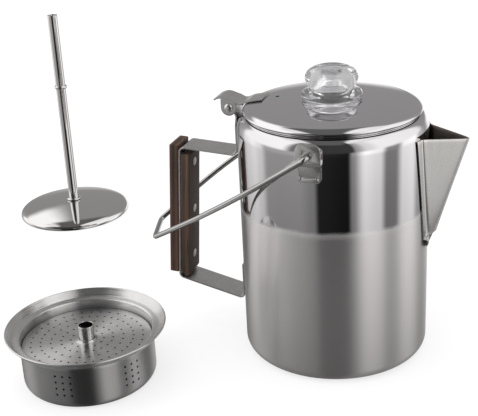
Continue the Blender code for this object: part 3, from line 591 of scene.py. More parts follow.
def pot_material():
    """Mirror polish above a slightly uneven finish line, circumferentially brushed satin below."""
    graph = Graph(bpy.data.materials.new("pot_steel"))
    vector, z = turned(graph, (0, 0), angle=1.4, radius=6000.0, height=9000.0)
    fine = graph.noise(vector, detail=3.0, rough=0.6)
    wide, _ = turned(graph, (0, 0), angle=0.8, radius=300.0, height=900.0)
    bands = graph.noise(wide, detail=2.0, rough=0.5)
    brushed = graph.weighted(fine, 0.65, bands, 0.35)
    wobble = graph.noise((26, 26, 10), detail=2.0, rough=0.5)
    edge = graph.add(z, graph.spread(wobble, over=(0.3, 0.7), to=(-0.0014, 0.0014)))
    satin = graph.spread(edge, over=(0.1170, 0.1225), to=(1.0, 0.0), smooth=True)
    cloud = graph.noise((30, 30, 30), detail=3.0, rough=0.55)

    mirror_rough = 0.035
    polished = graph.spread(cloud, over=(0.45, 0.8), to=(0.0, 0.045))
    polished = graph.add(mirror_rough, polished)
    dull = graph.spread(brushed, over=(0.25, 0.75), to=(0.27, 0.39))
    dull = graph.add(dull, graph.spread(cloud, over=(0.4, 0.8), to=(0.0, 0.03)))
    rough = graph.weighted(dull, satin, polished, graph.calc("SUBTRACT", 1.0, satin))

    colour = graph.mix(satin, (0.765, 0.750, 0.765), (0.750, 0.728, 0.726))
    # painted shade: the colour darkens towards the bottom of the pot
    colour = graph.tone(colour, graph.spread(z, over=(0.0, 0.108), to=(0.60, 0.985)))
    ripples = graph.noise((17, 17, 9), detail=1.0, rough=0.4)
    normal = graph.bump(ripples, strength=0.05, distance=0.0015)
    brush_marks = graph.times(brushed, satin)
    normal = graph.bump(brush_marks, strength=0.10, distance=0.00004, normal=normal)
    # the brush scatters a little light, most of it along the line where it was first set down
    rise = graph.spread(edge, over=(0.1140, 0.1185), smooth=True)
    fall = graph.spread(edge, over=(0.1185, 0.1215), to=(1.0, 0.0), smooth=True)
    below = graph.times(satin, graph.spread(z, over=(0.0, 0.108), to=(0.165, 0.093)))
    scatter = graph.calc("MULTIPLY_ADD", graph.times(rise, fall), 0.10, below)
    metallic = graph.calc("SUBTRACT", 1.0, scatter)
    graph.set(Base_Color=colour, Metallic=metallic, Roughness=rough, Normal=normal)
    graph.stretch_highlights(graph.times(satin, 0.9))
    return graph.owner


def spout_material():
    """Fine drawn satin outside with painted shade towards the bottom, a brighter rubbed flange
    along the wall, a dark brown dull inside.
    """
    graph = Graph(bpy.data.materials.new("spout_steel"))
    texture = graph.texture()
    x, y, z = graph.split(texture["Object"])
    facing = graph.split(texture["Normal"])[1]
    side = graph.times(graph.calc("SIGN", y), facing)
    inside = graph.spread(side, over=(-0.30, -0.15), to=(1.0, 0.0))
    radius = graph.distance(x, y)
    flange = graph.spread(radius, over=(0.0722, 0.0736), to=(1.0, 0.0), smooth=True)
    lines = graph.noise((420, 420, 40), detail=2.0, rough=0.5)
    cloud = graph.noise((45, 45, 28), detail=3.0, rough=0.55)
    patches = graph.spread(cloud, over=(0.3, 0.7))
    colour = graph.mix(patches, (0.78, 0.760, 0.745), (0.85, 0.835, 0.820))
    # painted shade: the colour darkens towards the bottom of the spout
    colour = graph.tone(colour, graph.spread(z, over=(0.095, 0.165), to=(0.80, 1.0)))
    # the inside of the spout is coloured dark brown
    colour = graph.mix(inside, colour, (0.20, 0.175, 0.155))
    rough = graph.add(
        graph.spread(lines, over=(0.3, 0.7), to=(0.25, 0.30)),
        graph.spread(cloud, over=(0.4, 0.8), to=(0.0, 0.04)),
    )
    rough = graph.calc("SUBTRACT", rough, graph.times(flange, 0.13))
    rough = graph.add(rough, graph.times(inside, 0.16), clamp=True)
    scatter = graph.times(graph.calc("SUBTRACT", 1.0, flange), 0.10)
    graph.set(
        Base_Color=colour,
        Metallic=graph.calc("SUBTRACT", 1.0, scatter),
        Roughness=rough,
        Normal=graph.bump(cloud, strength=0.02, distance=0.0006),
    )
    return graph.owner


def walnut(name, seed, red):
    """Oiled dark walnut: long figure along the grip, fine dark pores, redder lighter patches."""
    graph = Graph(bpy.data.materials.new(name))
    lean = math.atan2(7.7, 110.0)  # of the grip, from upright
    upright = graph.coords(scale=(1, 1, 1), rotation=(0, -lean, 0))
    along = graph.vector_math("MULTIPLY", upright, (260, 190, 8.5))
    shifted = graph.vector_math("ADD", along, (seed, seed * 0.37, seed * 1.71))
    figure = graph.noise(shifted, detail=5.0, rough=0.62, distortion=0.9)
    rings = graph.node(
        "ShaderNodeTexWave", wave_type="BANDS", bands_direction="X", wave_profile="SIN"
    )
    graph.link(shifted, rings.inputs["Vector"])
    wave = {"Scale": 0.24, "Distortion": 4.0, "Detail": 3.0, "Detail Scale": 0.8}
    for key, value in wave.items():
        rings.inputs[key].default_value = value
    pore_vector = graph.vector_math("MULTIPLY", upright, (1100, 1100, 36))
    pores = graph.noise(pore_vector, detail=2.0, rough=0.5)
    pore = graph.spread(pores, over=(0.60, 0.70))
    colour = graph.ramp(
        graph.weighted(figure, 0.76, rings.outputs["Fac"], 0.24),
        [
            (0.24, (0.018, 0.0110, 0.0080)),
            (0.42, (0.044, 0.0262, 0.0185)),
            (0.56, (0.074 * red, 0.0445, 0.0315)),
            (0.74, (0.118 * red, 0.072, 0.050)),
        ],
    )
    colour = graph.mix(graph.times(pore, 0.65), colour, (0.010, 0.006, 0.004))
    patch = graph.noise((14, 30, 9), detail=2.0, rough=0.5)
    patch = graph.spread(patch, over=(0.50, 0.72), to=(0.0, 0.34))
    height = graph.calc("SUBTRACT", graph.times(figure, 0.5), pore)
    graph.set(
        Base_Color=graph.mix(patch, colour, (0.13, 0.066, 0.045)),
        Roughness=graph.spread(figure, over=(0.3, 0.7), to=(0.50, 0.66)),
        Normal=graph.bump(height, strength=0.35, distance=0.00012),
        Specular_IOR_Level=0.32,
    )
    return graph.owner


def glass_material():
    graph = Graph(bpy.data.materials.new("clear_glass"))
    ripple = graph.noise((130, 130, 210), detail=2.0, rough=0.55)
    graph.set(
        Base_Color=(0.95, 0.95, 0.965, 1.0),
        Roughness=0.012,
        IOR=1.5,
        Transmission_Weight=0.90,
        Normal=graph.bump(ripple, strength=0.17, distance=0.0007),
    )
    return graph.owner


POLISHED = (0.76, 0.75, 0.745)  # base colour of tubes and bell
mat_pot = pot_material()
mat_spout = spout_material()
mat_strap = steel(
    "strap_steel", base=(0.66, 0.640, 0.640), rough=0.29, grain=(160, 2400, 160),
    line=0.08, smudge=0.08, tint=0.06, fill=0.04,
)
mat_lug = steel(
    "lug_steel", base=(0.76, 0.75, 0.73), rough=0.26, grain=(300, 300, 300),
    line=0.05, smudge=0.08, relief=0.6, fill=0.05,
)
mat_pin = steel(
    "pin_steel", base=(0.76, 0.75, 0.74), rough=0.22, grain=(600, 600, 600), fill=0.05
)
mat_lid = steel(
    "lid_steel", base=(0.79, 0.775, 0.79), rough=0.045, spin=(0, 0),
    wave=0.03, tint=0.01, shade_by=lid_underside_painted_shade,
)
mat_ring = steel("ring_steel", base=(0.74, 0.73, 0.715), rough=0.24, spin=(0, 0))
mat_tab = steel(
    "tab_steel", base=(0.66, 0.655, 0.65), rough=0.22, grain=(160, 1800, 160),
    line=0.05, smudge=0.06, fill=0.04,
)
mat_wire = steel(
    "wire_steel", base=(0.53, 0.525, 0.52), rough=0.20, grain=(500, 500, 500),
    line=0.05, smudge=0.08, relief=0.4,
)
mat_rivet = steel(
    "rivet_metal", base=(0.56, 0.53, 0.50), rough=0.42, grain=(500, 500, 500),
    line=0.04, smudge=0.10, fill=0.08,
)
mat_tube = steel("tube_steel", base=POLISHED, rough=0.075, spin=PUMP_XY, tint=0.01, relief=0.0)
mat_bell = steel(
    "bell_steel", base=POLISHED, rough=0.04, spin=PUMP_XY,
    wave=0.02, smudge=0.02, tint=0.01, relief=0.3,
)
mat_basket = steel(
    "basket_steel", base=(0.71, 0.705, 0.705), rough=0.27, spin=BASKET_XY,
    line=0.05, smudge=0.04, relief=0.3, fill=0.03, aniso=0.88, shade_by=basket_tones_and_painted_shade,
)
mat_cover = steel(
    "cover_steel", base=(0.70, 0.695, 0.695), rough=0.27, spin=BASKET_XY,
    line=0.06, smudge=0.05, relief=0.4, aniso=0.92, shade_by=punched_holes,
)
mat_centre_tube = steel(
    "centre_tube_steel", base=POLISHED, rough=0.10, spin=BASKET_XY, relief=0.0
)
mat_wood_out = walnut("walnut_outer", seed=3.1, red=1.12)
mat_wood_in = walnut("walnut_inner", seed=11.7, red=0.9)
mat_glass = glass_material()

# ------------------------------------------------------------------ pot body
SHOULDER_Z, NECK_R, NECK_Z = 175.0, 62.0, 187.0
BEAD_R, BEAD_X, BEAD_Z = 1.25, 62.3, 188.6
POT_CORNER = 9.0  # radius between wall and floor
WALL_ROWS = [40.0, 80.0, 110.0, 130.0, 150.0]
# strainer holes behind the spout: y of the column, heights
HOLE_COLUMNS = (
    (0.0, (108, 122, 136, 150, 164)),
    (7.5, (129, 143, 157)),
    (-7.5, (129, 143, 157)),
)


def shoulder(inset, steps=26):
    """Elliptical shoulder from wall to neck."""
    width, height = POT_R - NECK_R, NECK_Z - SHOULDER_Z - inset * 0.4
    angles = [math.pi / 2 * i / steps for i in range(steps + 1)]
    return [
        (
            NECK_R + width * math.cos(angle) - inset,
            SHOULDER_Z - inset * 0.6 + height * math.sin(angle),
        )
        for angle in angles
    ]


corner_r = POT_R - POT_CORNER
inside = [(0.0, SHEET), (20.0, SHEET), (45.0, SHEET)]
inside += arc(corner_r, POT_CORNER, POT_CORNER - SHEET, -90, 0, 14)
inside += [(POT_R - SHEET, z) for z in WALL_ROWS]
inside += shoulder(SHEET)[:-1] + [(BEAD_X - BEAD_R, NECK_Z - 0.2)]
bead = arc(BEAD_X, BEAD_Z, BEAD_R, 180, -50, 22)
outside = [(NECK_R + 1.1, NECK_Z + 0.1)] + shoulder(0.0)[::-1][1:]
outside += [(POT_R, z) for z in WALL_ROWS[::-1]]
outside += arc(corner_r, POT_CORNER, POT_CORNER, 0, -90, 18)
outside += [(45.0, 0.0), (20.0, 0.0), (0.0, 0.0)]
pot = lathe("pot_body_fine", inside + bead + outside, 192, sharp=50)
holes = [
    rod(2.6, 12.0, (69.0, y, z), (1, 0, 0), segments=28)
    for y, heights in HOLE_COLUMNS
    for z in heights
]
cut(pot, gathered(holes), sharp=50)
finish_piece(pot, mat_pot, "pot")

# ------------------------------------------------------------------ spout
TIP_X, _, SPOUT_TOP = far_corner("spout")
HEEL_X, HEEL_Z = 77.0, 99.6  # where the ridge starts to run straight out to the tip
ROOT_RISE, TIP_DROP = 2.0, 1.2  # the top edge falls from the wall to the tip
ROOT_X = 66.0  # where that fall starts
TOP_Z = SPOUT_TOP - ROOT_RISE
RIDGE_FOOT_Z, FLANGE_Z = 95.0, 87.0
HEEL_HALF, TOP_HALF, FLANGE_HALF = 13.0, 25.0, 1.6  # half widths
RIDGE_SOFT, WALL_BLEND = 1.6, 2.6  # rounding of the ridge, and of its join with the flange
# bands of rows below the upper part: start, end, steps
ROW_BANDS = ((106.0, 101.0, 6), (101.0, RIDGE_FOOT_Z, 18), (RIDGE_FOOT_Z, FLANGE_Z, 12))


def spout_x(y, z):
    root = POT_R + GAP
    wall = math.sqrt(root * root - y * y)
    if z >= HEEL_Z:
        share = (z - HEEL_Z) / (TOP_Z - HEEL_Z)
        ridge = HEEL_X + (TIP_X - HEEL_X) * share - SHEET
        foot = 5.5 + 9.7 * share
    else:
        share = max(0.0, (z - RIDGE_FOOT_Z) / (HEEL_Z - RIDGE_FOOT_Z))
        ridge = root - 3.0 + (HEEL_X - SHEET - root + 3.0) * math.sqrt(share)
        foot = 5.5
    across = math.sqrt(y * y + RIDGE_SOFT * RIDGE_SOFT) - RIDGE_SOFT
    lift = ridge - (ridge - root) * across / foot - wall
    if lift >= WALL_BLEND:
        return wall + lift
    if lift <= -WALL_BLEND:
        return wall
    return wall + (lift + WALL_BLEND) ** 2 / (4 * WALL_BLEND)


def spout_half(z):
    if z >= HEEL_Z:
        return HEEL_HALF + (TOP_HALF - HEEL_HALF) * ((z - HEEL_Z) / (TOP_Z - HEEL_Z))
    share = max(0.0, (z - FLANGE_Z) / (HEEL_Z - FLANGE_Z))
    return FLANGE_HALF + (HEEL_HALF - FLANGE_HALF) * math.sqrt(share * (2 - share))


def spout_point(across, z):
    y = across * spout_half(z)
    x = spout_x(y, z)
    rise = max(0.0, (z - HEEL_Z) / (TOP_Z - HEEL_Z))
    outward = (x - ROOT_X) / (TIP_X - SHEET - ROOT_X)
    return (x, y, z + rise * (ROOT_RISE - (ROOT_RISE + TIP_DROP) * outward))


def sheet_faces(rows, columns):
    return [
        (i * columns + j, (i + 1) * columns + j, (i + 1) * columns + j + 1, i * columns + j + 1)
        for i in range(rows - 1)
        for j in range(columns - 1)
    ]


upper_end = ROW_BANDS[0][0]
rows = [TOP_Z - 0.01 - (TOP_Z - upper_end) * i / 26 for i in range(27)]
for start, end, steps in ROW_BANDS:
    rows += [start - (start - end) * i / steps for i in range(1, steps + 1)]
even = [-1 + 2 * j / 64 for j in range(65)]
columns = [math.sin(math.pi / 2 * share) * 0.35 + share * 0.65 for share in even]
verts = [spout_point(across, z) for z in rows for across in columns]
spout = new_object("spout_fine", verts, sheet_faces(len(rows), len(columns)))
modify(spout, "SOLIDIFY", 40, thickness=SHEET * MM, offset=1.0)
bevel(spout, width=0.22, segments=2, angle=60, sharp=40)
finish_piece(spout, mat_spout, "pot")

# ------------------------------------------------------------------ handle strap
STRAP_T, STRAP_W = 1.3, 23.0
WALL_X = -(POT_R + GAP + STRAP_T / 2)
ARM_TOP, GRIP_TOP = (WALL_X, 151.4), (-117.4, 155.1)
GRIP_BOTTOM, ARM_BOTTOM = (-125.1, 45.1), (WALL_X, 31.3)
KNUCKLE_TAPER = 5.0  # the strip narrows by this to the knuckle, just above the wall flange
TAPER_Z, TAPER_RISE = 176.5, 2.3
STATION_PITCH = 3.0  # longest step along the strip

curl = arc(HINGE_X, HINGE_Z, HINGE_BORE + STRAP_T / 2, 310, 25, 40)
line = curl + rounded(
    [curl[-1], (WALL_X, 180.9), ARM_TOP, GRIP_TOP, GRIP_BOTTOM, ARM_BOTTOM, (WALL_X, 61.0)],
    radii=[2.5, 4.6, 4.0, 4.0, 3.4],
    steps=12,
)[1:]
dense = []
for a, b in zip(line, line[1:]):
    steps = max(1, int(math.dist(a, b) / STATION_PITCH))
    for k in range(steps):
        dense.append((a[0] + (b[0] - a[0]) * k / steps, a[1] + (b[1] - a[1]) * k / steps))
dense.append(line[-1])
sections = []
for x, z in dense:
    taper = KNUCKLE_TAPER * min(1.0, max(0.0, (z - TAPER_Z) / TAPER_RISE))
    sections.append(round_rect(STRAP_T, STRAP_W - taper, radius=0.32))
strap = sweep("handle_strap_fine", strip_path(dense), sections)
finish_piece(strap, mat_strap, "pot")

# ------------------------------------------------------------------ grip slabs and rivets
grip_up = unit(np.array(GRIP_TOP) - np.array(GRIP_BOTTOM))
grip_out = np.array((-grip_up[1], grip_up[0]))  # away from the pot
grip_middle = np.array(GRIP_BOTTOM) + grip_up * 56.8
GRIP_T, GRIP_W = 7.4, 23.0
OUTER_FACE = STRAP_T / 2 + GAP  # where each slab starts, from the strap's centreline
INNER_FACE = -OUTER_FACE


def on_grip(along, out):
    x, z = grip_middle + grip_up * along + grip_out * out
    return (float(x), float(z))


# corners of each slab: along the grip, out from the strap
OUTER_SLAB = (
    (-53.3, OUTER_FACE), (-53.3, OUTER_FACE + GRIP_T),
    (55.0, OUTER_FACE + GRIP_T), (55.0, OUTER_FACE),
)
INNER_SLAB = (
    (48.3, INNER_FACE), (48.3, INNER_FACE - GRIP_T), (-54.3, INNER_FACE - GRIP_T),
    (-56.4, INNER_FACE - GRIP_T + 3.2), (-52.7, INNER_FACE),
)
outer = prism("grip_outer_fine", [on_grip(*corner) for corner in OUTER_SLAB], GRIP_W / 2)
bevel(outer, width=0.95, segments=4, angle=40)
inner = prism("grip_inner_fine", [on_grip(*corner) for corner in INNER_SLAB], GRIP_W / 2)
bevel(inner, width=0.95, segments=4, angle=30)
finish_piece(outer, mat_wood_out, "pot")
finish_piece(inner, mat_wood_in, "pot")


def two_headed(name, head, top, bottom, place):
    """A rivet with equal heads; head holds (radius, height above its seat, corner mark)."""
    profile = [(radius, top + height, *mark) for radius, height, *mark in head]
    profile += [(radius, bottom - height, *mark) for radius, height, *mark in head[::-1]]
    obj = lathe(name, spline(profile, 4), 40)
    obj.data.transform(place)
    return obj


RIVET_HEAD = [
    (0.0, 0.6), (1.2, 0.56), (2.3, 0.41), (3.05, 0.24), (3.3, 0.12, 1), (3.15, 0.0, 1),
    (1.9, 0.0, 1),
]
RIVET_PITCH = 39.5
SEAT_LIFT = 0.02
rivet_turn = turn_to((grip_out[0], 0.0, grip_out[1]))
for label, row in (("top", 1), ("middle", 0), ("bottom", -1)):
    x, z = on_grip(row * RIVET_PITCH, 0.0)
    rivet = two_headed(
        "grip_rivet_%s_fine" % label,
        RIVET_HEAD,
        top=OUTER_FACE + GRIP_T + SEAT_LIFT,
        bottom=INNER_FACE - GRIP_T - SEAT_LIFT,
        place=shift(x, 0.0, z) @ rivet_turn,
    )
    finish_piece(rivet, mat_rivet, "pot")

# ------------------------------------------------------------------ bail lugs
LUG_T = 1.2
TAB_MID, PLATE_MID = POT_R + GAP + LUG_T / 2, 74.0 + LUG_T / 2  # of tab on the wall, plate above
PLATE_HALF, WALL_TAB_HALF = 8.95, 8.3
LUG_ROUND, TAB_ROUND = 5.45, 3.0
LUG_FOLD = [(TAB_MID, 157.6), (TAB_MID, 169.4), (PLATE_MID, 172.6), (PLATE_MID, 186.5)]
WELDS = ((-5.6, 161.1), (5.4, 160.9))  # x from the bail's pivot, z

round_x, tab_x = PLATE_HALF - 5.5, WALL_TAB_HALF - TAB_ROUND
lug_outline = arc(round_x, 181.0, LUG_ROUND, 0, 90, 12)
lug_outline += arc(-round_x, 181.0, LUG_ROUND, 90, 180, 12)
lug_outline += [(-PLATE_HALF, 171.4), (-WALL_TAB_HALF - 0.25, 170.4), (-WALL_TAB_HALF, 169.6)]
lug_outline += arc(-tab_x, 160.65, TAB_ROUND, 180, 270, 10)
lug_outline += arc(tab_x, 160.65, TAB_ROUND, 270, 360, 10)
lug_outline += [(WALL_TAB_HALF, 169.6), (WALL_TAB_HALF + 0.25, 170.4), (PLATE_HALF, 171.4)]
for label, side in (("front", -1), ("rear", 1)):
    path = strip_path(rounded(LUG_FOLD, radii=[1.2, 1.2], steps=8))
    section = round_rect(LUG_T, 18.0, radius=0.3)
    lug = sweep("bail_lug_%s_fine" % label, path, [section] * len(path))
    quarter = Matrix.Rotation(math.radians(90 * side), 4, "Z")
    lug.data.transform(Matrix.Translation((BAIL_X * MM, 0, 0)) @ quarter)
    stamp = prism("stamp", [(x + BAIL_X, z) for x, z in lug_outline], 6.0, middle=side * 73.0)
    cut(lug, stamp, "INTERSECT")
    cut(lug, rod(2.4, 8.0, (BAIL_X, side * PLATE_MID, BAIL_Z), (0, 1, 0), segments=40))
    bevel(lug, width=0.16, segments=2, angle=50)
    # two spot welds dent the tab's lower corners
    weld_y = side * (TAB_MID + LUG_T / 2 + 1.45)
    cut(lug, gathered([ball(1.9, (BAIL_X + x, weld_y, z)) for x, z in WELDS]))
    finish_piece(lug, mat_lug, "pot")

# ------------------------------------------------------------------ bail wire
# the bail hangs over the handle's side, turned down from level by BAIL_DROP
BAIL_DROP, ARM_Y, WIRE_R = math.radians(33.3), 80.0, 2.0
ELBOW_R, CROSS_R = 2.6, 5.0
# each arm: length to the crosspiece, half width there, outward bow, upward arch,
# corner out of the plane
FRONT_ARM, REAR_ARM = (173.1, 16.0, 7.7, -0.9, -2.9), (178.4, 15.7, 10.2, 9.2, 2.7)


def bail_point(along, y, above):
    cosine, sine = math.cos(BAIL_DROP), math.sin(BAIL_DROP)
    x = BAIL_X - along * cosine - above * sine
    return np.array((x, y, BAIL_Z - along * sine + above * cosine))


def bail_arm(side, shape):
    """Points along an arm, and the corner where it meets the crosspiece."""
    length, cross, bow, arch, stand = shape
    points = [(0.0, 71.6, 0.0), (0.0, 74.0, 0.0), (0.0, ARM_Y - ELBOW_R, 0.0)]
    elbow = arc(ELBOW_R, ARM_Y - ELBOW_R, ELBOW_R, 180, 90, 12)
    points += [(along, y, 0.0) for along, y in elbow[1:]]
    for i in range(1, 53):
        share = i / 56
        rise = math.sin(math.pi * share)
        along = ELBOW_R + (length - ELBOW_R) * share
        y = ARM_Y + (cross - ARM_Y) * share + bow * rise
        points.append((along, y, arch * rise + stand * share))
    placed = [bail_point(along, side * y, above) for along, y, above in points]
    return placed, bail_point(length, side * cross, stand)


def fillet(before, corner, after, radius, steps):
    """A corner in space, rounded."""
    back, ahead = unit(before - corner), unit(after - corner)
    half = math.acos(float(back @ ahead)) / 2
    middle = unit(back + ahead)
    centre = corner + middle * (radius / math.sin(half))
    across = unit(ahead - back)
    span = math.pi / 2 - half
    angles = [-span + 2 * span * k / steps for k in range(steps + 1)]
    return [
        centre + radius * (-middle * math.cos(angle) + across * math.sin(angle))
        for angle in angles
    ]


front_arm, front_corner = bail_arm(-1, FRONT_ARM)
rear_arm, rear_corner = bail_arm(1, REAR_ARM)
points = front_arm + fillet(front_arm[-1], front_corner, rear_corner, CROSS_R, 14)
points += fillet(front_corner, rear_corner, rear_arm[-1], CROSS_R, 14) + rear_arm[::-1]
bail_normal = np.array((math.sin(BAIL_DROP), 0.0, -math.cos(BAIL_DROP)))
path = []
for i, point in enumerate(points):
    along = unit(points[min(i + 1, len(points) - 1)] - points[max(i - 1, 0)])
    binormal = unit(bail_normal - along * float(bail_normal @ along))
    path.append((point, np.cross(binormal, along), binormal))
circle = arc(0, 0, WIRE_R, 0, 360, 24)[:-1]
cut_end = [(a * 0.8, b * 0.8) for a, b in circle]  # the cut ends are slightly rounded
sections = [cut_end] + [circle] * (len(path) - 2) + [cut_end]
finish_piece(sweep("bail_wire_fine", path, sections), mat_wire, "bail")

# ------------------------------------------------------------------ hinge pin
TAB_HALF, TAB_T = 9.9, 1.0
PIN_SEAT = TAB_HALF + TAB_T / 2 + 0.12  # just outside the ears
PIN_HEAD = [
    (0.0, 1.75), (1.3, 1.6), (2.5, 1.1), (3.2, 0.4), (3.3, 0.1, 1), (3.15, 0.0, 1),
    (1.7, 0.0, 1),
]
pin = two_headed(
    "hinge_pin_fine",
    PIN_HEAD,
    top=PIN_SEAT,
    bottom=-PIN_SEAT,
    place=shift(HINGE_X, 0, HINGE_Z) @ Matrix.Rotation(math.pi / 2, 4, "X"),
)
finish_piece(pin, mat_pin, "pot")

# ------------------------------------------------------------------ lid
KNOB_HOLE_R = 14.4
LID_SAG = 4.2  # fall of the domed top from the knob hole to the rim's bend
LID_T = 0.8
DOME_ROWS = [19.0, 22.0, 27.0, 32.0, 37.0, 42.0, 46.0, 50.0, 53.0, 56.0]
NOTCH_R, NOTCH_HALF, NOTCH_END = 17.4, 4.2, 22.0  # the rows are plain circles from NOTCH_END out


def lid_z(radius):
    return LID_TOP - LID_SAG * (max(0.0, radius - KNOB_HOLE_R) / 46.1) ** 2.2


def notched(radius, z, angle):
    """The knob hole's edge opens into two notches for the bayonet lugs."""
    if radius >= NOTCH_END:
        return radius
    edge = NOTCH_R if abs(math.cos(angle)) * NOTCH_R < NOTCH_HALF else KNOB_HOLE_R
    return edge + (NOTCH_END - edge) * ((radius - KNOB_HOLE_R) / (NOTCH_END - KNOB_HOLE_R))


lid_rim = [
    (58.5, lid_z(58.5), 1), (60.5, LID_TOP - LID_SAG), (62.7, 192.0), (64.3, 190.9),
    (65.0, 190.1), (LID_R, 189.5), (64.95, 188.85), (64.4, 188.6), (64.05, 188.9),
    (64.2, 189.6), (63.7, 190.6), (62.4, 191.35), (60.2, 192.05),
    (58.3, lid_z(58.3) - LID_T, 1),
]
lid_profile = [(KNOB_HOLE_R, LID_TOP)] + [(radius, lid_z(radius)) for radius in DOME_ROWS]
lid_profile += spline(lid_rim, 5)
lid_profile += [(radius, lid_z(radius) - LID_T) for radius in DOME_ROWS[::-1]]
lid_profile += [(KNOB_HOLE_R, LID_TOP - LID_T)]
lid = lathe("lid_shell_fine", lid_profile, 240, bend=notched, sharp=45)
cut(lid, rod(1.5, 12.0, (-41.0, 0.0, 195.0), (0, 0, 1), segments=32), sharp=45)
finish_piece(lid, mat_lid, "lid")


def below_lid(radius, depth):
    return lid_z(radius) - LID_T - depth


ring_profile = [
    (50.0, below_lid(50.0, GAP), 1), (53.0, below_lid(53.0, GAP)), (57.0, below_lid(57.0, GAP)),
    (59.3, 191.85), (60.4, 190.9), (60.4, 188.0), (60.4, 184.5, 1),
    (59.7, 184.5, 1), (59.7, 188.0), (59.7, 190.6), (58.7, 191.25),
    (56.9, below_lid(57.0, 1.0)), (52.9, below_lid(53.0, 1.0)), (50.0, below_lid(50.0, 1.0), 1),
]
ring = lathe("lid_centring_ring_fine", spline(ring_profile, 4), 144)
finish_piece(ring, mat_ring, "lid")

# ------------------------------------------------------------------ hinge tab
EAR_R = 6.0
EAR_STEPS = 6
TAB_YS = [TAB_HALF * share for share in (-1.0, -0.5, 0.0, 0.5, 1.0)]
# side view (x, z) of the lid plate and the thumb lip
TAB_LINE = [(-radius, lid_z(radius) + 0.85) for radius in (50.4, 54.5, 58.5)] + [
    (-61.5, 193.4), (-63.6, 192.5), (-65.4, 191.75), (-67.4, 191.3), (-68.9, 191.25),
    (HINGE_X + EAR_R, 191.5), (-72.5, 192.75), (-74.5, 193.45), (HINGE_X, 193.9),
    (-77.8, 194.55), (-80.0, 195.15), (HINGE_X - EAR_R, 195.4), (-84.0, 195.2),
    (-86.0, 194.5), (-87.6, 193.7),
]


def tab_sheet():
    """The tab as a sheet without thickness: the bent plate with a round ear down each side."""
    path = spline(TAB_LINE, 5)
    width = len(TAB_YS)
    verts = [(x, y, z) for x, z in path for y in TAB_YS]
    faces = [
        (a, a + 1, a + width + 1, a + width)
        for i in range(len(path) - 1)
        for a in range(i * width, (i + 1) * width - 1)
    ]
    stations = [i for i, (x, _) in enumerate(path) if abs(x - HINGE_X) <= EAR_R + 0.02]
    for side, edge in ((-1, 0), (1, width - 1)):
        columns = []
        for i in stations:
            x, z = path[i]
            low = HINGE_Z - math.sqrt(max(0.0, EAR_R**2 - (x - HINGE_X) ** 2))
            first = len(verts)
            columns.append([i * width + edge, *range(first, first + EAR_STEPS)])
            for k in range(1, EAR_STEPS + 1):
                verts.append((x, side * TAB_HALF, z + (low - z) * k / EAR_STEPS))
        for a, b in zip(columns, columns[1:]):
            for k in range(EAR_STEPS):
                faces.append((a[k], a[k + 1], b[k + 1], b[k]))
    return new_object("hinge_tab_fine", verts, faces)


def face_up(obj):
    """Makes the normals agree, with the first face looking up."""
    bm = bmesh.new()
    bm.from_mesh(obj.data)
    bmesh.ops.recalc_face_normals(bm, faces=bm.faces)
    bm.faces.ensure_lookup_table()
    if bm.faces[0].normal.z < 0:
        bmesh.ops.reverse_faces(bm, faces=bm.faces)
    bm.to_mesh(obj.data)
    bm.free()


tab = tab_sheet()
face_up(tab)
modify(tab, "SOLIDIFY", thickness=TAB_T * MM, offset=0.0, use_even_offset=True)
cut(tab, rod(HINGE_BORE, 30.0, (HINGE_X, 0, HINGE_Z), (0, 1, 0), segments=40))
bevel(tab, width=0.24, segments=3, angle=50)
DENTS = ((-54.8, -5.2, 200.0), (-54.8, 5.2, 200.0), (-67.0, 0.0, 195.2))
cut(tab, gathered([ball(3.4, place) for place in DENTS]))
finish_piece(tab, mat_tab, "lid")

# ------------------------------------------------------------------ glass knob
KNOB_NECK_R = 14.0
LUG_R, LUG_HALF = 16.8, 3.6
# outer side: radius, depth below the knob's top
KNOB_SIDE = (
    (0.0, 0.45), (6.0, 0.35), (10.5, 0.02), (13.8, 0.95), (17.6, 3.4), (19.2, 7.0),
    (18.6, 10.6), (17.0, 13.6), (16.6, 15.3), (18.4, 16.8), (21.2, 18.1), (22.25, 20.0),
    (21.7, 21.8),
)
NECK_ROWS = (LID_TOP + 0.3, 195.7, 195.6, 191.7, 191.6, 189.8)
# hollow inside: distance in from the neck's radius, height
KNOB_HOLLOW = ((2.45, 198.0), (2.7, 205.0), (3.6, 209.2), (6.4, 211.6), (10.0, 212.1))


def lugged(radius, z, angle):
    """Two bayonet lugs stand out of the neck, across the lid's notches."""
    on_neck = abs(radius - KNOB_NECK_R) < 0.01 and 191.65 < z < 195.65
    if on_neck and abs(math.sin(angle)) * LUG_R < LUG_HALF:
        return LUG_R
    return radius


knob_profile = [(radius, KNOB_TOP - depth) for radius, depth in KNOB_SIDE]
knob_profile += [(20.2, LID_TOP + 0.3, 1)] + [(KNOB_NECK_R, z, 1) for z in NECK_ROWS]
knob_profile += [(KNOB_NECK_R - 2.4, 189.8, 1)]
knob_profile += [(KNOB_NECK_R - inset, z) for inset, z in KNOB_HOLLOW] + [(0.0, 212.2)]
knob = lathe("glass_knob_fine", spline(knob_profile, 6), 144, bend=lugged, sharp=60)
finish_piece(knob, mat_glass, "knob")


# ------------------------------------------------------------------ pump stem
def tube(name, centre, bore, outer, top, foot, outer_rows, bore_rows):
    """A tube with rounded ends; top is its highest point, foot the centre of its lower round."""
    middle = (bore + outer) / 2
    profile = arc(middle, top - 0.3, 0.3, 180, 0, 10) + [(outer, z) for z in outer_rows]
    profile += arc(middle, foot, 0.3, 0, -180, 8)[1:] + [(bore, z) for z in bore_rows]
    return lathe(name, profile, 72, centre)


STEM_R = 4.9
stem = tube(
    "pump_tube_fine",
    PUMP_XY,
    bore=4.3,
    outer=STEM_R,
    top=far_corner("pump_tube")[2],
    foot=6.3,
    outer_rows=(170.0, 138.0, 133.0, 80.0, 16.0, 6.2),
    bore_rows=(80.0, 150.0),
)
finish_piece(stem, mat_tube, "pump")

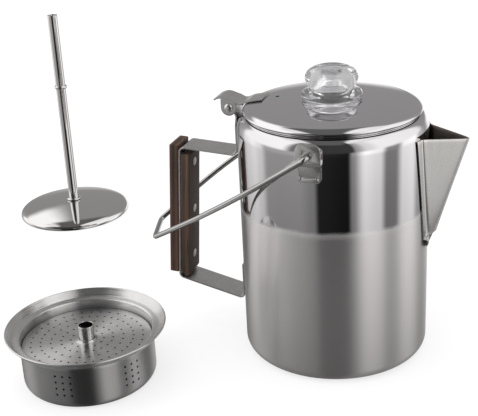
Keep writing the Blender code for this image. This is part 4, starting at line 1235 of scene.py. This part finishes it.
top = far_corner("pump_bell")[2]
bell_profile = [
    (5.2, top, 1), (10.0, top - 0.25), (16.0, top - 0.6), (30.0, top - 2.1), (42.0, top - 4.2),
    (50.0, top - 6.1), (53.6, top - 7.5), (55.4, top - 9.2), (56.0, top - 10.8),
    (56.0, 1.4), (55.8, 0.5), (55.2, 0.0, 1), (53.8, 0.0, 1), (53.2, 0.6), (53.5, 1.3),
    (54.4, 1.7), (54.5, top - 10.6), (53.0, top - 8.5), (49.8, top - 7.1), (42.0, top - 5.1),
    (30.0, top - 2.9), (16.0, top - 1.4), (10.0, top - 1.05), (5.2, top - 0.8, 1),
]
bell = lathe("pump_bell_fine", spline(bell_profile, 5), 216, PUMP_XY, sharp=50)
finish_piece(bell, mat_bell, "pump")


def bead_ring(node):
    """A bulging ring on the stem, as tall and wide as its CAD node."""
    low, high = box_mm(node)
    z, half = (low[2] + high[2]) / 2, (high[2] - low[2]) / 2
    bore = STEM_R + 0.05
    bulge = box_radius(node) - bore - 0.5
    profile = [(bore, z + half * 0.9), (bore + 0.35, z + half * 0.96)]
    for degrees in range(80, -81, -10):
        angle = math.radians(degrees)
        profile.append((bore + 0.5 + bulge * math.cos(angle), z + half * math.sin(angle)))
    profile += [(bore + 0.35, z - half * 0.96), (bore, z - half * 0.9)]
    obj = lathe(node + "_fine", profile, 72, PUMP_XY, sharp=60)
    finish_piece(obj, mat_tube, "pump")


bead_ring("basket_stop_ring")
bead_ring("bell_collar")


# ------------------------------------------------------------------ basket
def hole_rings(hole_radius, z, rings):
    """Cutters for rings of holes about the basket's axis: (radius, count, phase in degrees)."""
    cutters = []
    for radius, count, phase in rings:
        for i in range(count):
            angle = math.tau * i / count + math.radians(phase)
            x = BASKET_XY[0] + radius * math.cos(angle)
            y = BASKET_XY[1] + radius * math.sin(angle)
            cutters.append(rod(hole_radius, 5.0, (x, y, z), (0, 0, 1), segments=14))
    return cutters


BASKET_T, BASKET_CORNER = 0.7, 6.0
BASKET_HOLE_R = 0.9
FLOOR_RINGS = ((14.0, 8, 0.0), (24.0, 12, 0.0), (34.0, 16, 0.0))
wall = 50.0
bore = 6.1
top = far_corner("basket_shell")[2]
rim = box_radius("basket_shell")
ledge = top - 6.0
basket_rim = [
    (wall - BASKET_T, 32.0, 1), (wall - BASKET_T, ledge - 1.2), (wall - 0.35, ledge - 0.25),
    (wall + 0.6, ledge + 0.25), (wall + 2.5, ledge + 0.5), (rim - 6.2, ledge + 0.65),
    (rim - 5.2, ledge + 1.0), (rim - 4.5, ledge + 1.9), (rim - 2.2, top - 1.5),
    (rim - 1.2, top - 0.3), (rim - 0.7, top), (rim - 0.15, top - 0.25), (rim, top - 0.7),
    (rim - 0.5, top - 1.5), (rim - 3.4, ledge + 1.2), (rim - 4.2, ledge + 0.2),
    (rim - 5.2, ledge - 0.15), (wall + 2.5, ledge - 0.3), (wall + 0.9, ledge - 0.65),
    (wall + 0.1, ledge - 1.4), (wall, ledge - 2.6), (wall, 30.0, 1),
]
corner_r = wall - BASKET_CORNER
profile = [(bore, BASKET_T), (20.0, BASKET_T)]
profile += arc(corner_r, BASKET_CORNER, BASKET_CORNER - BASKET_T, -90, 0, 10)
profile += [(wall - BASKET_T, 14.0), (wall - BASKET_T, 24.0)]
profile += spline(basket_rim, 4) + [(wall, 24.0), (wall, 14.0)]
profile += arc(corner_r, BASKET_CORNER, BASKET_CORNER, 0, -90, 10)
profile += [(20.0, 0.0), (bore, 0.0)]
basket = lathe("basket_shell_fine", profile, 168, BASKET_XY, sharp=50)
cutters = []
# six groups of holes round the wall, three columns by four rows each
for group in range(6):
    for column in (-1, 0, 1):
        angle = math.radians(60 * group + 6.5 * column - 85.0)
        x, y = math.cos(angle), math.sin(angle)
        for row in range(4):
            place = (BASKET_XY[0] + x * wall, BASKET_XY[1] + y * wall, 11.7 + 5.1 * row)
            cutters.append(rod(BASKET_HOLE_R, 5.0, place, (x, y, 0.0), segments=14))
cutters += hole_rings(BASKET_HOLE_R, 0.0, FLOOR_RINGS)
cut(basket, gathered(cutters), sharp=50)
finish_piece(basket, mat_basket, "basket")

centre_tube = tube(
    "basket_centre_tube_fine",
    BASKET_XY,
    bore=5.2,
    outer=5.8,
    top=far_corner("basket_centre_tube")[2],
    foot=0.5,
    outer_rows=(30.0, 10.0, 0.5),
    bore_rows=(20.0,),
)
finish_piece(centre_tube, mat_centre_tube, "basket")

# ------------------------------------------------------------------ perforated cover
COVER_RINGS = (
    (12.4, 12, 22.5), (19.5, 20, 4.1), (27.2, 24, 14.3), (34.8, 36, 3.4), (42.1, 36, 1.8),
)
base = float(box_mm("basket_cover")[0][2])
rim = box_radius("basket_cover")
bore = 6.15
cover_profile = [
    (bore, base + 1.9, 1), (bore + 0.25, base + 2.2), (bore + 0.6, base + 2.15),
    (bore + 0.95, base + 1.5), (bore + 1.5, base + 0.95), (bore + 2.6, base + 0.72),
    (bore + 4.0, base + 0.7, 1), (30.0, base + 0.7, 1), (rim - 1.2, base + 0.7, 1),
    (rim - 0.4, base + 0.66), (rim, base + 0.35), (rim - 0.4, base + 0.04),
    (rim - 1.2, base, 1), (bore + 2.2, base, 1), (bore + 0.6, base + 0.4),
    (bore, base + 1.1, 1),
]
cover = lathe("basket_cover_fine", spline(cover_profile, 4), 144, BASKET_XY, sharp=50)
cut(cover, gathered(hole_rings(0.8, base, COVER_RINGS)), sharp=50)
finish_piece(cover, mat_cover, "cover")

# ------------------------------------------------------------------ floor
bpy.ops.mesh.primitive_plane_add(size=14.0, location=(0.0, 0.0, -0.0002))
floor = bpy.context.object
floor.name = "studio_floor"
floor_graph = Graph(bpy.data.materials.new("studio_floor"))
floor_graph.set(
    Base_Color=(0.30, 0.30, 0.30, 1.0),
    Roughness=1.0,
    Specular_IOR_Level=0.0,
    Emission_Color=(1.0, 1.0, 1.0, 1.0),
    Emission_Strength=0.72,
)
floor.data.materials.append(floor_graph.owner)
floor.visible_glossy = False

# ------------------------------------------------------------------ camera
# place: angle from -Y toward +X, distance from the pot's axis and height; angles in radians
CAMERA_AZIMUTH, CAMERA_DISTANCE, CAMERA_Z = 0.24409, 720.4, 409.85
# view: angle below level, angle from +Y toward -X, roll
CAMERA_PITCH, CAMERA_HEADING, CAMERA_ROLL = 0.39082, 0.34314, -0.05355

heading_cos, heading_sin = math.cos(CAMERA_HEADING), math.sin(CAMERA_HEADING)
pitch_cos = math.cos(CAMERA_PITCH)
forward = Vector((-heading_sin * pitch_cos, heading_cos * pitch_cos, -math.sin(CAMERA_PITCH)))
level_right = Vector((heading_cos, heading_sin, 0.0))
level_up = level_right.cross(forward)
roll_cos, roll_sin = math.cos(CAMERA_ROLL), math.sin(CAMERA_ROLL)
right = level_right * roll_cos + level_up * roll_sin
up = level_up * roll_cos - level_right * roll_sin
camera_data = bpy.data.cameras.new("camera")
camera_data.sensor_width = 36.0
camera_data.lens = 77.64477
camera_data.clip_start, camera_data.clip_end = 0.05, 60.0
camera = bpy.data.objects.new("camera", camera_data)
scene.collection.objects.link(camera)
camera_place = (
    math.sin(CAMERA_AZIMUTH) * CAMERA_DISTANCE * MM,
    -math.cos(CAMERA_AZIMUTH) * CAMERA_DISTANCE * MM,
    CAMERA_Z * MM,
)
camera_turn = Matrix((right, up, -forward)).transposed().to_4x4()
camera.matrix_world = Matrix.Translation(camera_place) @ camera_turn
scene.camera = camera

# ------------------------------------------------------------------ world
# (azimuth in degrees from the camera's side, negative to the left; level)
LOW_CARDS = (
    (-180, 0.62), (-150, 0.18), (-134, 0.40), (-120, 0.80), (-106, 0.92), (-95, 0.78),
    (-83, 0.37), (-66, 0.36), (-42, 0.37), (-24, 0.27), (-17, 0.02), (17, 0.012),
    (23, 0.30), (38, 1.06), (56, 0.92), (66, 0.24), (78, 0.25), (91, 1.0),
    (107, 1.08), (120, 0.47), (136, 0.30), (152, 0.95),
)
HIGH_CARDS = (
    (-180, 0.31), (-150, 0.31), (-135, 0.40), (-122, 1.18), (-62, 1.22), (-48, 0.20),
    (-30, 0.05), (18, 0.04), (27, 0.40), (42, 0.90), (58, 1.15), (118, 1.10),
    (132, 0.34), (150, 0.31), (180, 0.31),
)
# (elevation in degrees, gain of the low cards)
LOW_GAIN = (
    (-90, 0.30), (-50, 0.42), (-31, 0.60), (-24, 0.72), (-18, 1.0), (-8, 1.25), (10, 1.3),
)


def build_world():
    """White to the camera and to diffuse light; glossy rays see a studio of cards."""
    world = bpy.data.worlds.new("studio")
    scene.world = world
    graph = Graph(world)
    graph.tree.nodes.clear()
    turn = graph.node("ShaderNodeVectorRotate", rotation_type="Z_AXIS")
    graph.link(graph.texture()["Generated"], turn.inputs["Vector"])
    # the camera's side of the room comes to azimuth 0
    turn.inputs["Angle"].default_value = math.pi / 2 - CAMERA_AZIMUTH
    x, y, z = graph.split(turn.outputs[0])
    azimuth = graph.calc("MULTIPLY_ADD", graph.calc("ARCTAN2", y, x), 1 / math.tau, 0.5)
    elevation = graph.calc("MULTIPLY_ADD", graph.calc("ARCSINE", z), 1 / math.pi, 0.5)

    def round_table(stops):
        return graph.ramp(azimuth, [(0.5 + deg / 360.0, level) for deg, level in stops], "EASE")

    def upward(stops, interpolation="EASE"):
        placed = [(0.5 + deg / 180.0, level) for deg, level in stops]
        return graph.ramp(elevation, placed, interpolation)

    low = graph.tone(round_table(LOW_CARDS), upward(LOW_GAIN, "LINEAR"))
    # a white card high on the left, behind
    card_sides = round_table([(-164, 0.0), (-152, 1.0), (-70, 1.0), (-55, 0.0)])
    card = graph.times(card_sides, upward([(25, 0.0), (33, 1.0)]))
    high = graph.mix(card, round_table(HIGH_CARDS), (1.22, 1.22, 1.22))
    over_colour = upward([(55, 0.9), (75, 1.1), (90, 0.8)], "LINEAR")
    upper = graph.mix(upward([(52, 0.0), (60, 1.0)]), high, over_colour)
    # the dark gap between the cards runs up past the overhead card's edge on the camera's side
    gap_sides = round_table([(-12, 0.0), (-6, 1.0), (22, 1.0), (28, 0.0)])
    gap = graph.times(gap_sides, upward([(66, 1.0), (73, 0.0)]))
    upper = graph.mix(gap, upper, (0.05, 0.05, 0.05))
    # a dark strip between the overhead cards, over the table from front to back
    across = graph.calc("MULTIPLY_ADD", y, 0.5, 0.5)
    edges = ((-0.20, 0.0), (-0.14, 1.0), (0.06, 1.0), (0.11, 0.0))
    strip_sides = graph.ramp(across, [(0.5 + offset, level) for offset, level in edges], "EASE")
    strip = graph.times(strip_sides, upward([(46, 0.0), (54, 1.0)]))
    upper = graph.mix(strip, upper, (0.13, 0.13, 0.13))
    pattern = graph.mix(upward([(-4, 0.0), (8, 1.0)]), low, upper)

    soft, cards = (graph.node("ShaderNodeBackground") for _ in range(2))
    soft.inputs["Color"].default_value = (1, 1, 1, 1)
    soft.inputs["Strength"].default_value = 1.06
    graph.link(graph.tone(pattern, (1.0, 0.990, 0.980)), cards.inputs["Color"])
    cards.inputs["Strength"].default_value = 1.0
    rays = graph.node("ShaderNodeLightPath").outputs
    is_soft = graph.add(rays["Is Camera Ray"], rays["Is Diffuse Ray"], clamp=True)
    through = graph.times(rays["Is Transmission Ray"], 0.22)
    choose = graph.node("ShaderNodeMixShader")
    graph.link(graph.calc("MAXIMUM", is_soft, through), choose.inputs[0])
    graph.link(cards.outputs[0], choose.inputs[1])
    graph.link(soft.outputs[0], choose.inputs[2])
    output = graph.node("ShaderNodeOutputWorld")
    graph.link(choose.outputs[0], output.inputs["Surface"])


build_world()


# ------------------------------------------------------------------ lights, in metres and watts
def softbox(name, place, aim, size, power):
    data = bpy.data.lights.new(name, "AREA")
    data.shape = "RECTANGLE"
    data.size, data.size_y = size
    data.energy = power
    obj = bpy.data.objects.new(name, data)
    scene.collection.objects.link(obj)
    obj.location = place
    obj.rotation_mode = "QUATERNION"
    obj.rotation_quaternion = (Vector(aim) - Vector(place)).to_track_quat("-Z", "Y")
    obj.visible_glossy = False


softbox(
    "softbox_top", place=(-0.3, -0.2, 1.6), aim=(-0.12, 0.0, 0.1), size=(1.6, 1.4), power=5.0
)
softbox(
    "softbox_left", place=(-1.4, -0.8, 0.9), aim=(-0.1, 0.0, 0.12), size=(0.9, 1.1), power=5.0
)

scene.view_settings.view_transform = "Standard"
scene.view_settings.look = "None"
